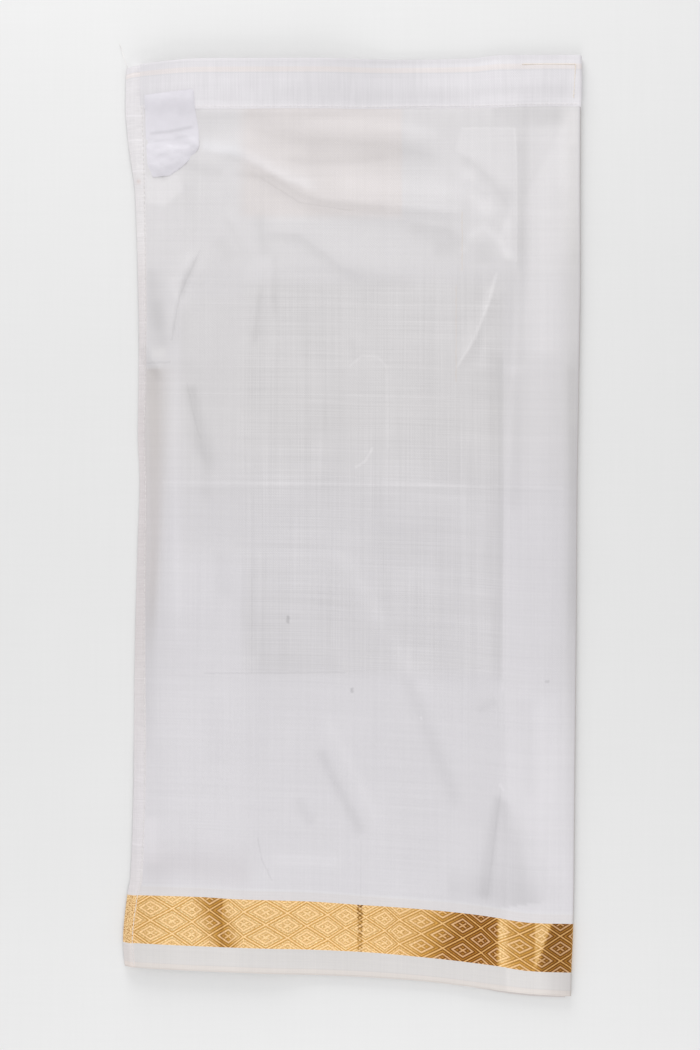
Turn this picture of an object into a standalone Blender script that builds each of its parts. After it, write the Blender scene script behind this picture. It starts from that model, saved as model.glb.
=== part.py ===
"""A ready-stitched dhoti, folded into a flat packet and lying on a table.

+X runs across the packet to its folded edge, +Y up the cloth to the waistband
and +Z up off the table.  The origin is on the table, under the middle of the
packet.  The tables and driving sizes are in millimetres, which is how cloth is
measured, and MM turns them into Blender's metres where the meshes are made.

The top layer is one cloth, woven in three stretches: the white field, the gold
border and the strip with the selvedge.  It lies over the hidden layers and turns
round them at the right, down to the table.  The waistband casing, the side hem
and the care label lie on it, and are made from its own points, moved out.
"""
import math
from collections import namedtuple

import bmesh
import bpy

MM = 0.001

# Driving sizes
CLOTH = 1.0            # wall of a layer of cloth
SEAM = 0.3             # clearance where two pieces meet
FOLD_RADIUS = 1.9      # how far the folded edge bulges past where it starts to turn
CASING_CROWN = 0.7     # how much fatter the waistband casing is along its middle
HEM_STACK = 0.2        # the hem's turned edge, under its own face
HIDDEN_LAYERS = 3      # layers of cloth under the top one
RIM_HEIGHT = 2.2       # height of the hidden layers at their edges
CROWN_HEIGHT = 1.0     # how much more they are in the middle
AIR = 0.5              # least room between the hidden layers and the top one
PUFF = 0.8             # loft of the top layer away from the edges
NEAR_SIDE = 24.0       # the stretch beside the left edge that has columns of its own
CENTRE = (0.43, 0.15)  # where the middle of the packet falls in the tables' own frame

# Down the packet: its left edge, the hem's visible width, how far in the hidden
# layers start, the line where an inner flap ends, and the folded edge.
Side = namedtuple("Side", "y left hem roll flap right")
SIDES = (
    Side(292, -139.9, 10.0, 2.5, 101.0, 141.9),
    Side(261, -140.6, 10.8, 2.5, 101.3, 141.7),
    Side(237, -138.8, 9.6, 2.5, 101.5, 141.6),
    Side(207, -134.7, 6.0, 2.5, 101.6, 141.5),
    Side(154, -132.9, 4.6, 2.5, 101.0, 140.8),
    Side(122, -132.3, 4.0, 2.5, 99.5, 140.2),
    Side(105, -132.4, 3.8, 2.5, 98.5, 140.1),
    Side(101, -132.4, 3.8, 18.0, 98.2, 140.1),
    Side(58, -133.0, 3.6, 18.5, 95.6, 139.8),
    Side(28, -131.9, 3.4, 18.0, 94.6, 139.6),
    Side(-14, -133.6, 4.4, 16.5, 94.1, 139.3),
    Side(-65, -135.0, 5.4, 12.8, 93.6, 139.0),
    Side(-117, -136.5, 6.6, 10.0, 92.4, 138.5),
    Side(-150, -136.8, 7.0, 4.0, 92.3, 138.2),
    Side(-182, -137.1, 7.2, 2.5, 91.6, 137.9),
    Side(-219, -137.7, 7.6, 2.5, 91.4, 137.6),
    Side(-228, -139.5, 7.8, 2.5, 91.4, 137.5),
    Side(-258, -142.2, 7.8, 2.5, 92.4, 136.7),
    Side(-273, -141.2, 7.6, 2.5, 93.2, 136.0),
    Side(-292, -140.5, 7.4, 2.5, 93.5, 135.6),
)

# Across the packet: the top edge, the casing's seam, the two edges of the gold
# border and the lower edge, and how far the hidden layers stop short of it.
Line = namedtuple("Line", "x top seam border border_end lower short")
LINES = (
    Line(-140, 284.7, 259.9, -228.5, -257.7, -272.8, 1.6),
    Line(-120, 286.9, 259.9, -228.6, -258.4, -273.9, 1.6),
    Line(-95, 288.7, 259.9, -229.3, -259.5, -275.2, 1.4),
    Line(-45, 289.0, 259.9, -231.8, -261.7, -277.3, 1.2),
    Line(5, 289.0, 260.1, -234.2, -263.4, -279.4, 1.2),
    Line(42, 289.2, 260.7, -236.8, -266.6, -281.9, 0.8),
    Line(73, 289.9, 261.1, -239.9, -270.0, -285.5, 0.2),
    Line(91, 291.8, 261.2, -242.6, -272.5, -287.7, -0.6),
    Line(110, 292.0, 261.3, -245.3, -275.3, -289.8, -0.9),
    Line(141, 292.1, 261.5, -246.6, -276.8, -291.7, -0.4),
)

# Folds of the top layer.  A fold runs along its path, rises (or sinks) by rise,
# and dies away over left and right of that way, and over fade at its two ends.
Fold = namedtuple("Fold", "name path rise left right fade")
FOLDS = (
    Fold("long wrinkle", ((-95, 241), (-66, 227), (-24, 206), (20, 199), (64, 196)), 2.4, 15, 6, 26),
    Fold("upper wrinkle", ((-57, 255), (-33, 240), (11, 235), (61, 232)), 2.0, 9, 6, 22),
    Fold("middle wrinkle", ((-51, 182), (-8, 166), (48, 153)), 1.3, 13, 8, 24),
    Fold("shoulder", ((60, 226), (86, 205), (100, 166)), 1.5, 10, 5, 20),
    Fold("hip curve", ((-93, 174), (-106, 150), (-110, 112)), 1.1, 6, 7, 18),
    Fold("side dimple", ((-101, 90), (-95, 60), (-90, 33)), -0.8, 7, 7, 16),
    Fold("inner fold", ((-56, 170), (-58, 141), (-59, 108)), 0.8, 9, 6, 18),
    Fold("white crease", ((90, 151), (79, 125), (66, 98)), 0.9, 5, 5, 12),
    Fold("belly", ((-30, 60), (-5, 10), (12, -38)), 0.6, 16, 16, 26),
    Fold("lower dip", ((-24, -134), (7, -179)), -0.8, 10, 10, 18),
    Fold("lower crest", ((-5, -120), (34, -190)), 0.7, 12, 12, 20),
    Fold("heel dip", ((-60, -190), (-48, -222)), -0.7, 8, 8, 12),
    Fold("corner crest", ((94, -163), (106, -196), (125, -236)), 0.9, 8, 8, 14),
    Fold("corner dip", ((92, -166), (87, -200), (84, -234)), -0.8, 7, 5, 14),
    Fold("packing crease", ((-112, 25), (-20, 26), (138, 24)), 0.5, 3, 3, 20),
)

# The edge of the inner flap shows through as a step: beside its line the top
# layer rises on the left (drop > 0) or sinks into a groove (groove > 0).
Flap = namedtuple("Flap", "y drop groove")
FLAP_STEP = (
    Flap(272, 0.0, 0.0),
    Flap(250, 1.2, 0.0),
    Flap(165, 1.2, 0.2),
    Flap(120, 0.0, 0.6),
    Flap(0, 0.0, 0.7),
    Flap(-150, 0.0, 0.5),
    Flap(-230, 0.0, 0.9),
    Flap(-292, 0.0, 1.0),
)

# Edges of the packet that stand up off the table.
Lift = namedtuple("Lift", "edge start end rise reach")
LIFTS = (
    Lift("top", -142, 66, 3.4, 46),
    Lift("top", 84, 150, 1.2, 34),
    Lift("lower", -142, -52, 2.6, 40),
    Lift("lower", 62, 152, 2.6, 44),
)

# The care label: its left and right edges, from the end near the waistband down.
LabelRow = namedtuple("LabelRow", "down left_x left_y right_x right_y curl")
LABEL = (
    LabelRow(0.00, -128.8, 267.0, -98.5, 270.1, 0.3),
    LabelRow(0.25, -128.4, 254.6, -97.3, 257.3, 0.0),
    LabelRow(0.50, -128.2, 242.2, -95.4, 244.5, 0.5),
    LabelRow(0.65, -127.8, 234.8, -95.2, 236.0, 1.3),
    LabelRow(0.80, -127.4, 227.0, -99.2, 229.6, 0.6),
    LabelRow(0.92, -126.2, 220.6, -106.0, 222.6, 1.2),
    LabelRow(1.00, -123.6, 216.6, -113.0, 217.6, 0.4),
)

# Where the mesh has its columns and rows, as places between the guides of
# guide_x and guide_y: 1.5 is halfway from the second guide to the third.
FLAT_COLUMNS = (
    [0.0, 0.5, 1.0, 1.2, 1.4, 1.6, 1.8]
    + [2.0 + step / 13 for step in range(12)]
    + [2.93, 2.965, 3.0, 3.04, 3.12, 3.26, 3.42, 3.6, 3.8, 4.0]
)
TURN_COLUMNS = [4.0 + step / 6 for step in range(1, 7)]
CASING_TURN = [4.15, 4.3]
HEM_COLUMNS = [(0.0, 0.35), (0.5, 1.0), (1.0, 0.6)]   # and how full the hem is there
CASING_ROWS = [0.0, 0.12, 0.5, 0.88, 1.0]
FIELD_STEPS = 42
BORDER_ROWS = [2.0, 2.33, 2.67, 3.0]
STRIP_ROWS = [3.0, 3.5, 4.0]
PACKING_CREASE_ROWS = [1.476, 1.480, 1.484]
ROLL_STEP_ROWS = [1.317, 1.325]
LABEL_STEPS = (7, 14)
LAYER_STEPS = (20, 38)
LAYER_TURN = 107.5     # where the hidden layers step in, on their left side
LAYER_LEAD = 4.5       # how much sooner they step in than the top layer sinks

# The edge of each hidden layer, as places in its thickness and how far it is out.
Lip = namedtuple("Lip", "height out")
LIP = (Lip(0.25, 0.0), Lip(0.75, 0.0), Lip(1.0, -0.8))
LIP_STAGGER = 0.45     # how unevenly one layer's edge lies over the next

# Colours: linear red, green and blue, then roughness and metallic.
WHITE_COTTON = (0.79, 0.77, 0.79, 0.75, 0.0)
CASING_COTTON = (0.82, 0.80, 0.82, 0.72, 0.0)
HEM_COTTON = (0.76, 0.73, 0.72, 0.75, 0.0)
GOLD_ZARI = (0.66, 0.40, 0.13, 0.38, 0.8)
LABEL_SATIN = (0.80, 0.78, 0.84, 0.45, 0.0)
HIDDEN_COTTON = (0.74, 0.72, 0.73, 0.8, 0.0)


def clear_scene():
    for item in list(bpy.data.objects):
        bpy.data.objects.remove(item, do_unlink=True)


def ease(start, end, value):
    """0 before start, 1 after end, and a smooth rise between them."""
    part = min(max((value - start) / (end - start), 0.0), 1.0)
    return part * part * (3.0 - 2.0 * part)


def read(table, column, at):
    """A column of a table at a place on its first column, on a curve through its rows."""
    rows = sorted((row[0], getattr(row, column)) for row in table)
    if at <= rows[0][0]:
        return rows[0][1]
    if at >= rows[-1][0]:
        return rows[-1][1]
    index = max(i for i in range(len(rows) - 1) if rows[i][0] <= at)
    (x0, y0), (x1, y1) = rows[index], rows[index + 1]
    slope = (y1 - y0) / (x1 - x0)
    tangents = []
    for other in (index - 1, index + 1):
        if 0 <= other < len(rows) - 1:
            (xa, ya), (xb, yb) = rows[other], rows[other + 1]
            beside = (yb - ya) / (xb - xa)
            tangents.append(2.0 * slope * beside / (slope + beside) if slope * beside > 0.0 else 0.0)
        else:
            tangents.append(slope)
    span = x1 - x0
    part = (at - x0) / span
    bend0, bend1 = tangents[0] * span, tangents[1] * span
    rise = 3 * part**2 - 2 * part**3
    return (y0 + (y1 - y0) * rise
            + bend0 * (part**3 - 2 * part**2 + part)
            + bend1 * (part**3 - part**2))


def along(path, x, y):
    """How far a place is to the left of a path, and how far from the path's ends."""
    best = None
    walked = 0.0
    total = sum(math.dist(a, b) for a, b in zip(path, path[1:]))
    for (ax, ay), (bx, by) in zip(path, path[1:]):
        length = math.dist((ax, ay), (bx, by))
        ux, uy = (bx - ax) / length, (by - ay) / length
        run = (x - ax) * ux + (y - ay) * uy
        held = min(max(run, 0.0), length)
        away = math.hypot(x - ax - ux * held, y - ay - uy * held)
        side = ux * (y - ay) - uy * (x - ax)
        if best is None or away < best[0]:
            best = (away, math.copysign(away, side), walked + held)
        walked += length
    return best[1], min(best[2], total - best[2])


def fold_height(x, y):
    """The sum of the folds at a place."""
    height = 0.0
    for fold in FOLDS:
        side, to_end = along(fold.path, x, y)
        width = fold.left if side > 0.0 else fold.right
        height += fold.rise * math.exp(-(side / width) ** 2) * ease(0.0, fold.fade, to_end)
    line = x - read(SIDES, "flap", y)
    drop = read(FLAP_STEP, "drop", y)
    groove = read(FLAP_STEP, "groove", y)
    height += drop * (1.0 - ease(0.0, 4.0, line)) * ease(-60.0, -2.0, line)
    height -= groove * ease(-20.0, -1.0, line) * (1.0 - ease(-1.0, 4.0, line))
    return height


def edge_lift(x, y):
    """How far the packet stands up off the table near its top and lower edges."""
    height = 0.0
    for lift in LIFTS:
        edge = read(LINES, lift.edge, x)
        away = edge - y if lift.edge == "top" else y - edge
        span = 0.5 * (lift.end - lift.start)
        across = 1.0 - ease(0.45 * span, span, abs(x - 0.5 * (lift.start + lift.end)))
        height += lift.rise * across * (1.0 - ease(0.0, lift.reach, away))
    return height


def inward(x, y):
    """1 well inside the hidden layers, 0 at their edges."""
    from_left = x - read(SIDES, "left", y) - read(SIDES, "roll", y)
    from_right = read(SIDES, "right", y) - FOLD_RADIUS - x
    from_top = read(LINES, "top", x) - y
    from_lower = y - read(LINES, "lower", x)
    return (ease(0.0, 26.0, from_left) * ease(0.0, 20.0, from_right)
            * ease(0.0, 24.0, from_top) * ease(0.0, 24.0, from_lower))


def bed(x, y):
    """Height of the hidden layers: a pillow, lower at its rim, raised where edges lift."""
    return RIM_HEIGHT + CROWN_HEIGHT * inward(x, y) + 0.35 * edge_lift(x, y)


def cloth_top(x, y):
    """Height of the top layer's upper face."""
    inside = inward(x, y)
    loft = AIR + PUFF * inside + max(fold_height(x, y) * ease(0.0, 0.3, inside), -PUFF * inside)
    resting = bed(x, y) + loft + 0.65 * edge_lift(x, y)
    roll = read(SIDES, "roll", y)
    over_table = x - read(SIDES, "left", y)
    held_up = ease(roll - 9.0, roll - 0.5, over_table)
    return CLOTH + SEAM + (resting - SEAM) * held_up


def guide_x(place, y):
    """x at a place across: edge 0, hem 1, near side 2, flap line 3, start of the fold 4."""
    left = read(SIDES, "left", y)
    guides = (left, left + read(SIDES, "hem", y), left + NEAR_SIDE,
              read(SIDES, "flap", y), read(SIDES, "right", y) - FOLD_RADIUS)
    index = min(int(place), 3)
    return guides[index] + (guides[index + 1] - guides[index]) * (place - index)


def guide_y(place, x):
    """y at a place down: top 0, casing seam 1, border 2, end of the border 3, lower edge 4."""
    guides = [read(LINES, name, x) for name in ("top", "seam", "border", "border_end", "lower")]
    index = min(int(place), 3)
    return guides[index] + (guides[index + 1] - guides[index]) * (place - index)


def plan(across, down, shift_x=0.0, shift_y=0.0):
    """x and y of a place on the flat part of the packet."""
    x, y = 0.0, 0.0
    for _ in range(4):
        y = guide_y(down, x) + shift_y
        x = guide_x(min(across, 4.0), y) + shift_x
    return x, y


def on_cloth(across, down, out, shift_x=0.0, shift_y=0.0):
    """A point of the top layer, moved out of its upper face, past the fold too."""
    x, y = plan(across, down, shift_x, shift_y)
    height = cloth_top(x, y)
    if across <= 4.0:
        return x, y, height + out
    angle = math.pi * (across - 4.0)
    return (x + (FOLD_RADIUS + out) * math.sin(angle), y,
            0.5 * height + (0.5 * height + out) * math.cos(angle))


def to_scene(point):
    """A point of the tables' frame in Blender's units, with the packet centred."""
    return ((point[0] - CENTRE[0]) * MM, (point[1] - CENTRE[1]) * MM, point[2] * MM)


def finish_material(node, finish):
    red, green, blue, roughness, metallic = finish
    material = bpy.data.materials.new(node.name + "_finish")
    material.use_nodes = True
    shader = material.node_tree.nodes["Principled BSDF"]
    shader.inputs["Base Color"].default_value = (red, green, blue, 1.0)
    shader.inputs["Roughness"].default_value = roughness
    shader.inputs["Metallic"].default_value = metallic
    material.diffuse_color = (red, green, blue, 1.0)
    node.data.materials.append(material)


def add_node(name, points, faces, finish):
    """One named object from points in the tables' frame and faces that point out."""
    mesh = bpy.data.meshes.new(name)
    mesh.from_pydata([to_scene(point) for point in points], [], faces)
    mesh.update()
    model = bmesh.new()
    model.from_mesh(mesh)
    bmesh.ops.recalc_face_normals(model, faces=model.faces)
    if model.calc_volume(signed=True) < 0.0:
        bmesh.ops.reverse_faces(model, faces=model.faces)
    model.to_mesh(mesh)
    model.free()
    mesh.shade_smooth()
    mesh.set_sharp_from_angle(angle=math.radians(40.0))
    node = bpy.data.objects.new(name, mesh)
    bpy.context.scene.collection.objects.link(node)
    finish_material(node, finish)
    return node


def wall(name, outer, inner, finish):
    """A closed wall between two grids of points that match row for row."""
    rows, columns = len(outer), len(outer[0])
    points = [point for grid in (outer, inner) for row in grid for point in row]
    below = rows * columns

    def at(row, column):
        return row * columns + column

    faces = []
    for row in range(rows - 1):
        for column in range(columns - 1):
            quad = (at(row, column), at(row + 1, column), at(row + 1, column + 1), at(row, column + 1))
            faces.append(quad)
            faces.append(tuple(below + index for index in reversed(quad)))
    rim = ([at(0, column) for column in range(columns)]
           + [at(row, columns - 1) for row in range(1, rows)]
           + [at(rows - 1, column) for column in range(columns - 2, -1, -1)]
           + [at(row, 0) for row in range(rows - 2, 0, -1)])
    for index, start in enumerate(rim):
        end = rim[(index + 1) % len(rim)]
        faces.append((start, end, below + end, below + start))
    return add_node(name, points, faces, finish)


def seamed(rows, first=0.0, last=0.0):
    """Rows with the shift in y that keeps the clearance at their first and last seams."""
    shifts = [0.0] * len(rows)
    shifts[0] = -first
    shifts[-1] = last
    return list(zip(rows, shifts))


def field_rows():
    """Rows of the white field, closer together where a fold needs them."""
    spaced = [1.0 + step / FIELD_STEPS for step in range(1, FIELD_STEPS)]
    close = PACKING_CREASE_ROWS + ROLL_STEP_ROWS
    spaced = [row for row in spaced if all(abs(row - other) > 0.006 for other in close)]
    return CASING_ROWS + sorted(spaced + close) + [2.0]


def cloth_stretch(name, rows, finish):
    """A stretch of the top layer, from the left end over the top and round the fold."""
    columns = FLAT_COLUMNS + TURN_COLUMNS
    grids = [[[on_cloth(column, row, out, shift_y=shift) for column in columns]
              for row, shift in rows] for out in (0.0, -CLOTH)]
    return wall(name, grids[0], grids[1], finish)


def waistband_casing():
    """The turned strip stitched along the upper edge, fattest along its middle."""
    columns = [(1.0, SEAM)] + [(column, 0.0) for column in FLAT_COLUMNS + CASING_TURN if column > 1.1]
    outer, inner = [], []
    for row in CASING_ROWS:
        out = SEAM + CLOTH + CASING_CROWN * math.sin(math.pi * row)
        outer.append([on_cloth(column, row, out, shift_x=shift) for column, shift in columns])
        inner.append([on_cloth(column, row, SEAM, shift_x=shift) for column, shift in columns])
    return wall("waistband_casing", outer, inner, CASING_COTTON)


def side_hem():
    """The turned hem down the left edge, over the field, the border and the strip."""
    rows = field_rows() + BORDER_ROWS[1:] + STRIP_ROWS[1:]
    outer, inner = [], []
    for row in rows:
        outer.append([on_cloth(column, row, SEAM + HEM_STACK + CLOTH * fat) for column, fat in HEM_COLUMNS])
        inner.append([on_cloth(column, row, SEAM) for column, fat in HEM_COLUMNS])
    return wall("side_hem", outer, inner, HEM_COTTON)


def care_label():
    """The small folded label beside the hem, over the casing's seam, its low end crumpled."""
    across, down = LABEL_STEPS
    outer, inner = [], []
    for row in range(down + 1):
        place = row / down
        left = (read(LABEL, "left_x", place), read(LABEL, "left_y", place))
        right = (read(LABEL, "right_x", place), read(LABEL, "right_y", place))
        curl = read(LABEL, "curl", place)
        outer_row, inner_row = [], []
        for column in range(across + 1):
            part = column / across
            x = left[0] + (right[0] - left[0]) * part
            y = left[1] + (right[1] - left[1]) * part
            seam = read(LINES, "seam", x)
            on_casing = ease(seam - 12.0, seam - 3.0, y) * (CLOTH + CASING_CROWN + SEAM)
            ripple = curl * (0.5 + 0.5 * math.cos(math.tau * (part * 0.9 - place * 1.7)))
            height = cloth_top(x, y) + on_casing + 0.5 + ripple * ease(0.0, 0.2, part)
            outer_row.append((x, y, height + CLOTH))
            inner_row.append((x, y, height))
        outer.append(outer_row)
        inner.append(inner_row)
    return wall("care_label", outer, inner, LABEL_SATIN)


def layer_plan(across, down):
    """x and y of a place on the hidden layers, from their left to their right edge."""
    x, y = 0.0, 0.0
    for _ in range(4):
        top = read(LINES, "top", x) - 3.0
        y = top + (read(LINES, "lower", x) + read(LINES, "short", x) - top) * down
        left = read(SIDES, "left", y) + read(SIDES, "roll", y - LAYER_LEAD)
        x = left + (read(SIDES, "right", y) - FOLD_RADIUS - SEAM - left) * across
    return x, y


def layer_rows():
    """Rows of the hidden layers, with two close ones where their left side steps in."""
    top, lower = 286.0, -276.0
    step = (top - LAYER_TURN) / (top - lower)
    rows = [row / LAYER_STEPS[1] for row in range(LAYER_STEPS[1] + 1)]
    rows = [row for row in rows if abs(row - step) > 0.008]
    return sorted(rows + [step - 0.0035, step + 0.0035])


def under_layers():
    """The hidden layers: a pillow with a flat underside, their edges lying one on another."""
    across, rows = LAYER_STEPS[0], layer_rows()
    count = across + 1
    points = []
    for down in rows:
        for column in range(count):
            x, y = layer_plan(column / across, down)
            points.append((x, y, bed(x, y)))
    last = len(rows) - 1
    faces = [(row * count + column, (row + 1) * count + column,
              (row + 1) * count + column + 1, row * count + column + 1)
             for row in range(last) for column in range(across)]
    loop = (list(range(count)) + [row * count + across for row in range(1, last + 1)]
            + [last * count + column for column in range(across - 1, -1, -1)]
            + [row * count for row in range(last - 1, 0, -1)])
    border = [points[index] for index in loop]
    outward = []
    for index in range(len(border)):
        before, after = border[index - 1], border[(index + 1) % len(border)]
        along_x, along_y = after[0] - before[0], after[1] - before[1]
        length = math.hypot(along_x, along_y)
        outward.append((-along_y / length, along_x / length))
    ring = loop
    for layer in range(HIDDEN_LAYERS - 1, -1, -1):
        for lip in reversed(LIP[:-1] if layer == HIDDEN_LAYERS - 1 else LIP):
            first = len(points)
            for (x, y, height), (out_x, out_y) in zip(border, outward):
                sway = math.sin(0.037 * x + 0.023 * y + 2.1 * layer) - 1.0
                out = lip.out + LIP_STAGGER * sway
                points.append((x + out_x * out, y + out_y * out,
                               height * (layer + lip.height) / HIDDEN_LAYERS))
            below = list(range(first, len(points)))
            faces += ring_band(ring, below)
            ring = below
    first = len(points)
    for (x, y, height), (out_x, out_y) in zip(border, outward):
        points.append((x - 0.8 * out_x, y - 0.8 * out_y, 0.0))
    foot = list(range(first, len(points)))
    faces += ring_band(ring, foot)
    faces.append(tuple(foot))
    return add_node("under_layers", points, faces, HIDDEN_COTTON)


def ring_band(upper, lower):
    """Faces between two rings of the same number of points."""
    count = len(upper)
    return [(upper[i], upper[(i + 1) % count], lower[(i + 1) % count], lower[i]) for i in range(count)]


def build():
    clear_scene()
    half = 0.5 * SEAM
    under_layers()
    cloth_stretch("front_panel", seamed(field_rows(), last=half), WHITE_COTTON)
    cloth_stretch("zari_border", seamed(BORDER_ROWS, first=half, last=half), GOLD_ZARI)
    cloth_stretch("lower_strip", seamed(STRIP_ROWS, first=half), CASING_COTTON)
    waistband_casing()
    side_hem()
    care_label()


build()
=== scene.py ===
"""The looks of a ready-stitched dhoti, folded into a flat packet on a pale table.

The sizes are those of the model's source, in millimetres in the frame of its
tables, and become metres where the meshes are made.  The cloth is thin here: one
sheet runs over the top of the packet, turns at the right and runs back under it,
and a second folded sheet lies inside.  Its weave, show-through and gold pattern
are drawn by node materials from each point's place on the cloth, and shade and
light on its folds, creases and edges and the gold's glint are painted into its colour.
"""
import math
from collections import namedtuple

import bmesh
import bpy
import numpy as np
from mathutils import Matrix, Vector


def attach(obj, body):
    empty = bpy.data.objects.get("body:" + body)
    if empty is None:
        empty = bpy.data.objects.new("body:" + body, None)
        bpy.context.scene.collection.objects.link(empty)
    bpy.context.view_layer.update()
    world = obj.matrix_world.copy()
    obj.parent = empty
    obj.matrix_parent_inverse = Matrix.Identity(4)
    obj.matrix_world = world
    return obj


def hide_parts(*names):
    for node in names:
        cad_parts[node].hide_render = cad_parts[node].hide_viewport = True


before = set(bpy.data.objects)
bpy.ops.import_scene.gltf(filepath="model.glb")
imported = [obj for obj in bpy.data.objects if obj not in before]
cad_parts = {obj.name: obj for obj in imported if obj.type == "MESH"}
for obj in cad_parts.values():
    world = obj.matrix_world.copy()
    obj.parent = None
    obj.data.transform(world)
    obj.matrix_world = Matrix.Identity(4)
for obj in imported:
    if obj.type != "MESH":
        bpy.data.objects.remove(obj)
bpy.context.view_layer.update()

MM = 0.001
CENTRE = (0.43, 0.15)      # where the middle of the packet falls in the tables' own frame

# Sizes shared with the source
CLOTH = 1.0
FOLD_RADIUS = 1.9
RIM_HEIGHT = 2.2
CROWN_HEIGHT = 1.0
AIR = 0.5
PUFF = 0.8
NEAR_SIDE = 24.0
LAYER_LEAD = 4.5

# How levels of the photograph's 255 become shares of light, reckoned at the pale cloth
PAPER_LEVEL = 215.0
GAMMA = 2.2

# Sizes of the thin cloth
THREAD = 0.4               # thickness of one layer
TABLE_GAP = 0.5            # upper face of a layer that lies on the table
TURN_LENGTH = 8.0          # cloth in the turn of the folded edge
UNDER_LENGTH = 268.0       # and on the underside, back to the left edge
UNDER_INSET = 2.2          # how far below the top edge the underside ends
LEFT_ROUNDING = 26.0       # how far in from its edges the packet's upper face comes up
RIGHT_ROUNDING = 20.0
END_ROUNDING = 24.0
BED_LIFT = 0.35            # the share of an edge's lift that the layers below take
FOLD_START = 4.0           # the right fold's start and end, among the places across the packet
FOLD_END = 5.0


def table(columns, rows):
    """Rows whose columns have names; a row's own name is there for the reader."""
    row_type = namedtuple("Row", columns)
    return [row_type(*row) for row in rows]


SIDES = table("y left hem roll flap right", (
    (292, -139.9, 10.0, 2.5, 101.0, 141.9),
    (261, -140.6, 10.8, 2.5, 101.3, 141.7),
    (237, -138.8, 9.6, 2.5, 101.5, 141.6),
    (207, -134.7, 6.0, 2.5, 101.6, 141.5),
    (154, -132.9, 4.6, 2.5, 101.0, 141.6),
    (122, -132.3, 4.0, 2.5, 99.5, 141.2),
    (105, -132.4, 3.8, 9.0, 98.5, 140.9),
    (90, -132.5, 3.8, 17.5, 97.5, 140.6),
    (58, -133.0, 3.6, 18.5, 95.6, 140.1),
    (28, -131.9, 3.4, 18.0, 94.6, 139.6),
    (-14, -133.2, 4.4, 16.5, 94.1, 139.3),
    (-65, -134.6, 5.4, 12.8, 93.6, 139.0),
    (-117, -135.3, 6.6, 10.0, 92.4, 138.5),
    (-150, -135.4, 7.0, 4.0, 92.3, 138.2),
    (-182, -136.1, 7.0, 2.5, 91.6, 137.9),
    (-219, -137.7, 7.0, 2.5, 91.4, 137.6),
    (-228, -139.5, 6.6, 2.5, 91.4, 137.5),
    (-258, -142.2, 6.2, 2.5, 92.4, 136.7),
    (-273, -141.2, 6.2, 2.5, 93.2, 136.0),
    (-292, -140.5, 6.2, 2.5, 93.5, 135.6),
))

LINES = table("x top seam border border_end lower short", (
    (-140, 284.7, 259.6, -228.5, -257.7, -272.8, 1.6),
    (-120, 286.9, 259.4, -228.6, -258.4, -273.9, 1.6),
    (-95, 288.7, 259.2, -229.3, -259.5, -275.2, 1.4),
    (-70, 288.9, 259.2, -230.8, -260.5, -276.2, 1.3),
    (-45, 289.0, 259.4, -231.5, -261.3, -277.3, 1.2),
    (-28, 289.0, 259.4, -232.0, -261.9, -278.0, 1.2),
    (5, 289.0, 259.2, -234.2, -263.4, -279.4, 1.2),
    (42, 289.2, 259.6, -236.8, -266.6, -281.9, 0.8),
    (73, 289.9, 259.7, -239.9, -270.0, -285.5, 0.2),
    (91, 291.8, 260.0, -242.6, -272.5, -287.7, -0.6),
    (110, 292.0, 260.7, -245.3, -275.3, -289.8, -0.9),
    (141, 292.1, 261.3, -246.6, -276.8, -291.7, -0.4),
))

# The folds of the source, which the solids have too
FOLDS = table("name path rise left right fade", (
    ("long wrinkle", ((-90.9, 236), (-66.5, 233), (-50, 221.5), (-32.6, 209.5), (-19, 204.5), (4.6, 201.5),
     (29.4, 199.5), (54, 198), (73, 197)), 1.3, 13, 5, 22),
    ("upper wrinkle", ((-58.7, 250.9), (-32.6, 245.3), (-4.7, 244), (29.4, 241), (57.9, 233.6)), 0.8, 9, 5,
     20),
    ("middle wrinkle", ((-56.2, 186.4), (-32.6, 183.3), (-17.1, 172.8), (-4.7, 164.1), (17, 157.9),
     (48, 154.2)), 0.7, 11, 7, 22),
    ("shoulder", ((60, 226), (86, 205), (100, 166)), 1.5, 10, 5, 20),
    ("hip curve", ((-93, 174), (-106, 150), (-110, 112)), 1.1, 6, 7, 18),
    ("side dimple", ((-101, 90), (-95, 60), (-90, 33)), -0.8, 7, 7, 16),
    ("inner fold", ((-56, 170), (-58, 141), (-59, 108)), 0.8, 9, 6, 18),
    ("white crease", ((90, 151), (79, 125), (66, 98)), 0.9, 5, 5, 12),
    ("belly", ((-30, 60), (-5, 10), (12, -38)), 0.6, 16, 16, 26),
    ("lower dip", ((-24, -134), (7, -179)), -0.8, 10, 10, 18),
    ("lower crest", ((-5, -120), (34, -190)), 0.7, 12, 12, 20),
    ("heel dip", ((-60, -190), (-48, -222)), -0.7, 8, 8, 12),
    ("corner crest", ((94, -163), (106, -196), (125, -236)), 0.5, 8, 8, 14),
    ("corner dip", ((92, -166), (87, -200), (84, -234)), -0.5, 7, 5, 14),
    ("packing crease", ((-112, 25), (-20, 26), (138, 24)), 0.32, 3, 3, 20),
))

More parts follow.
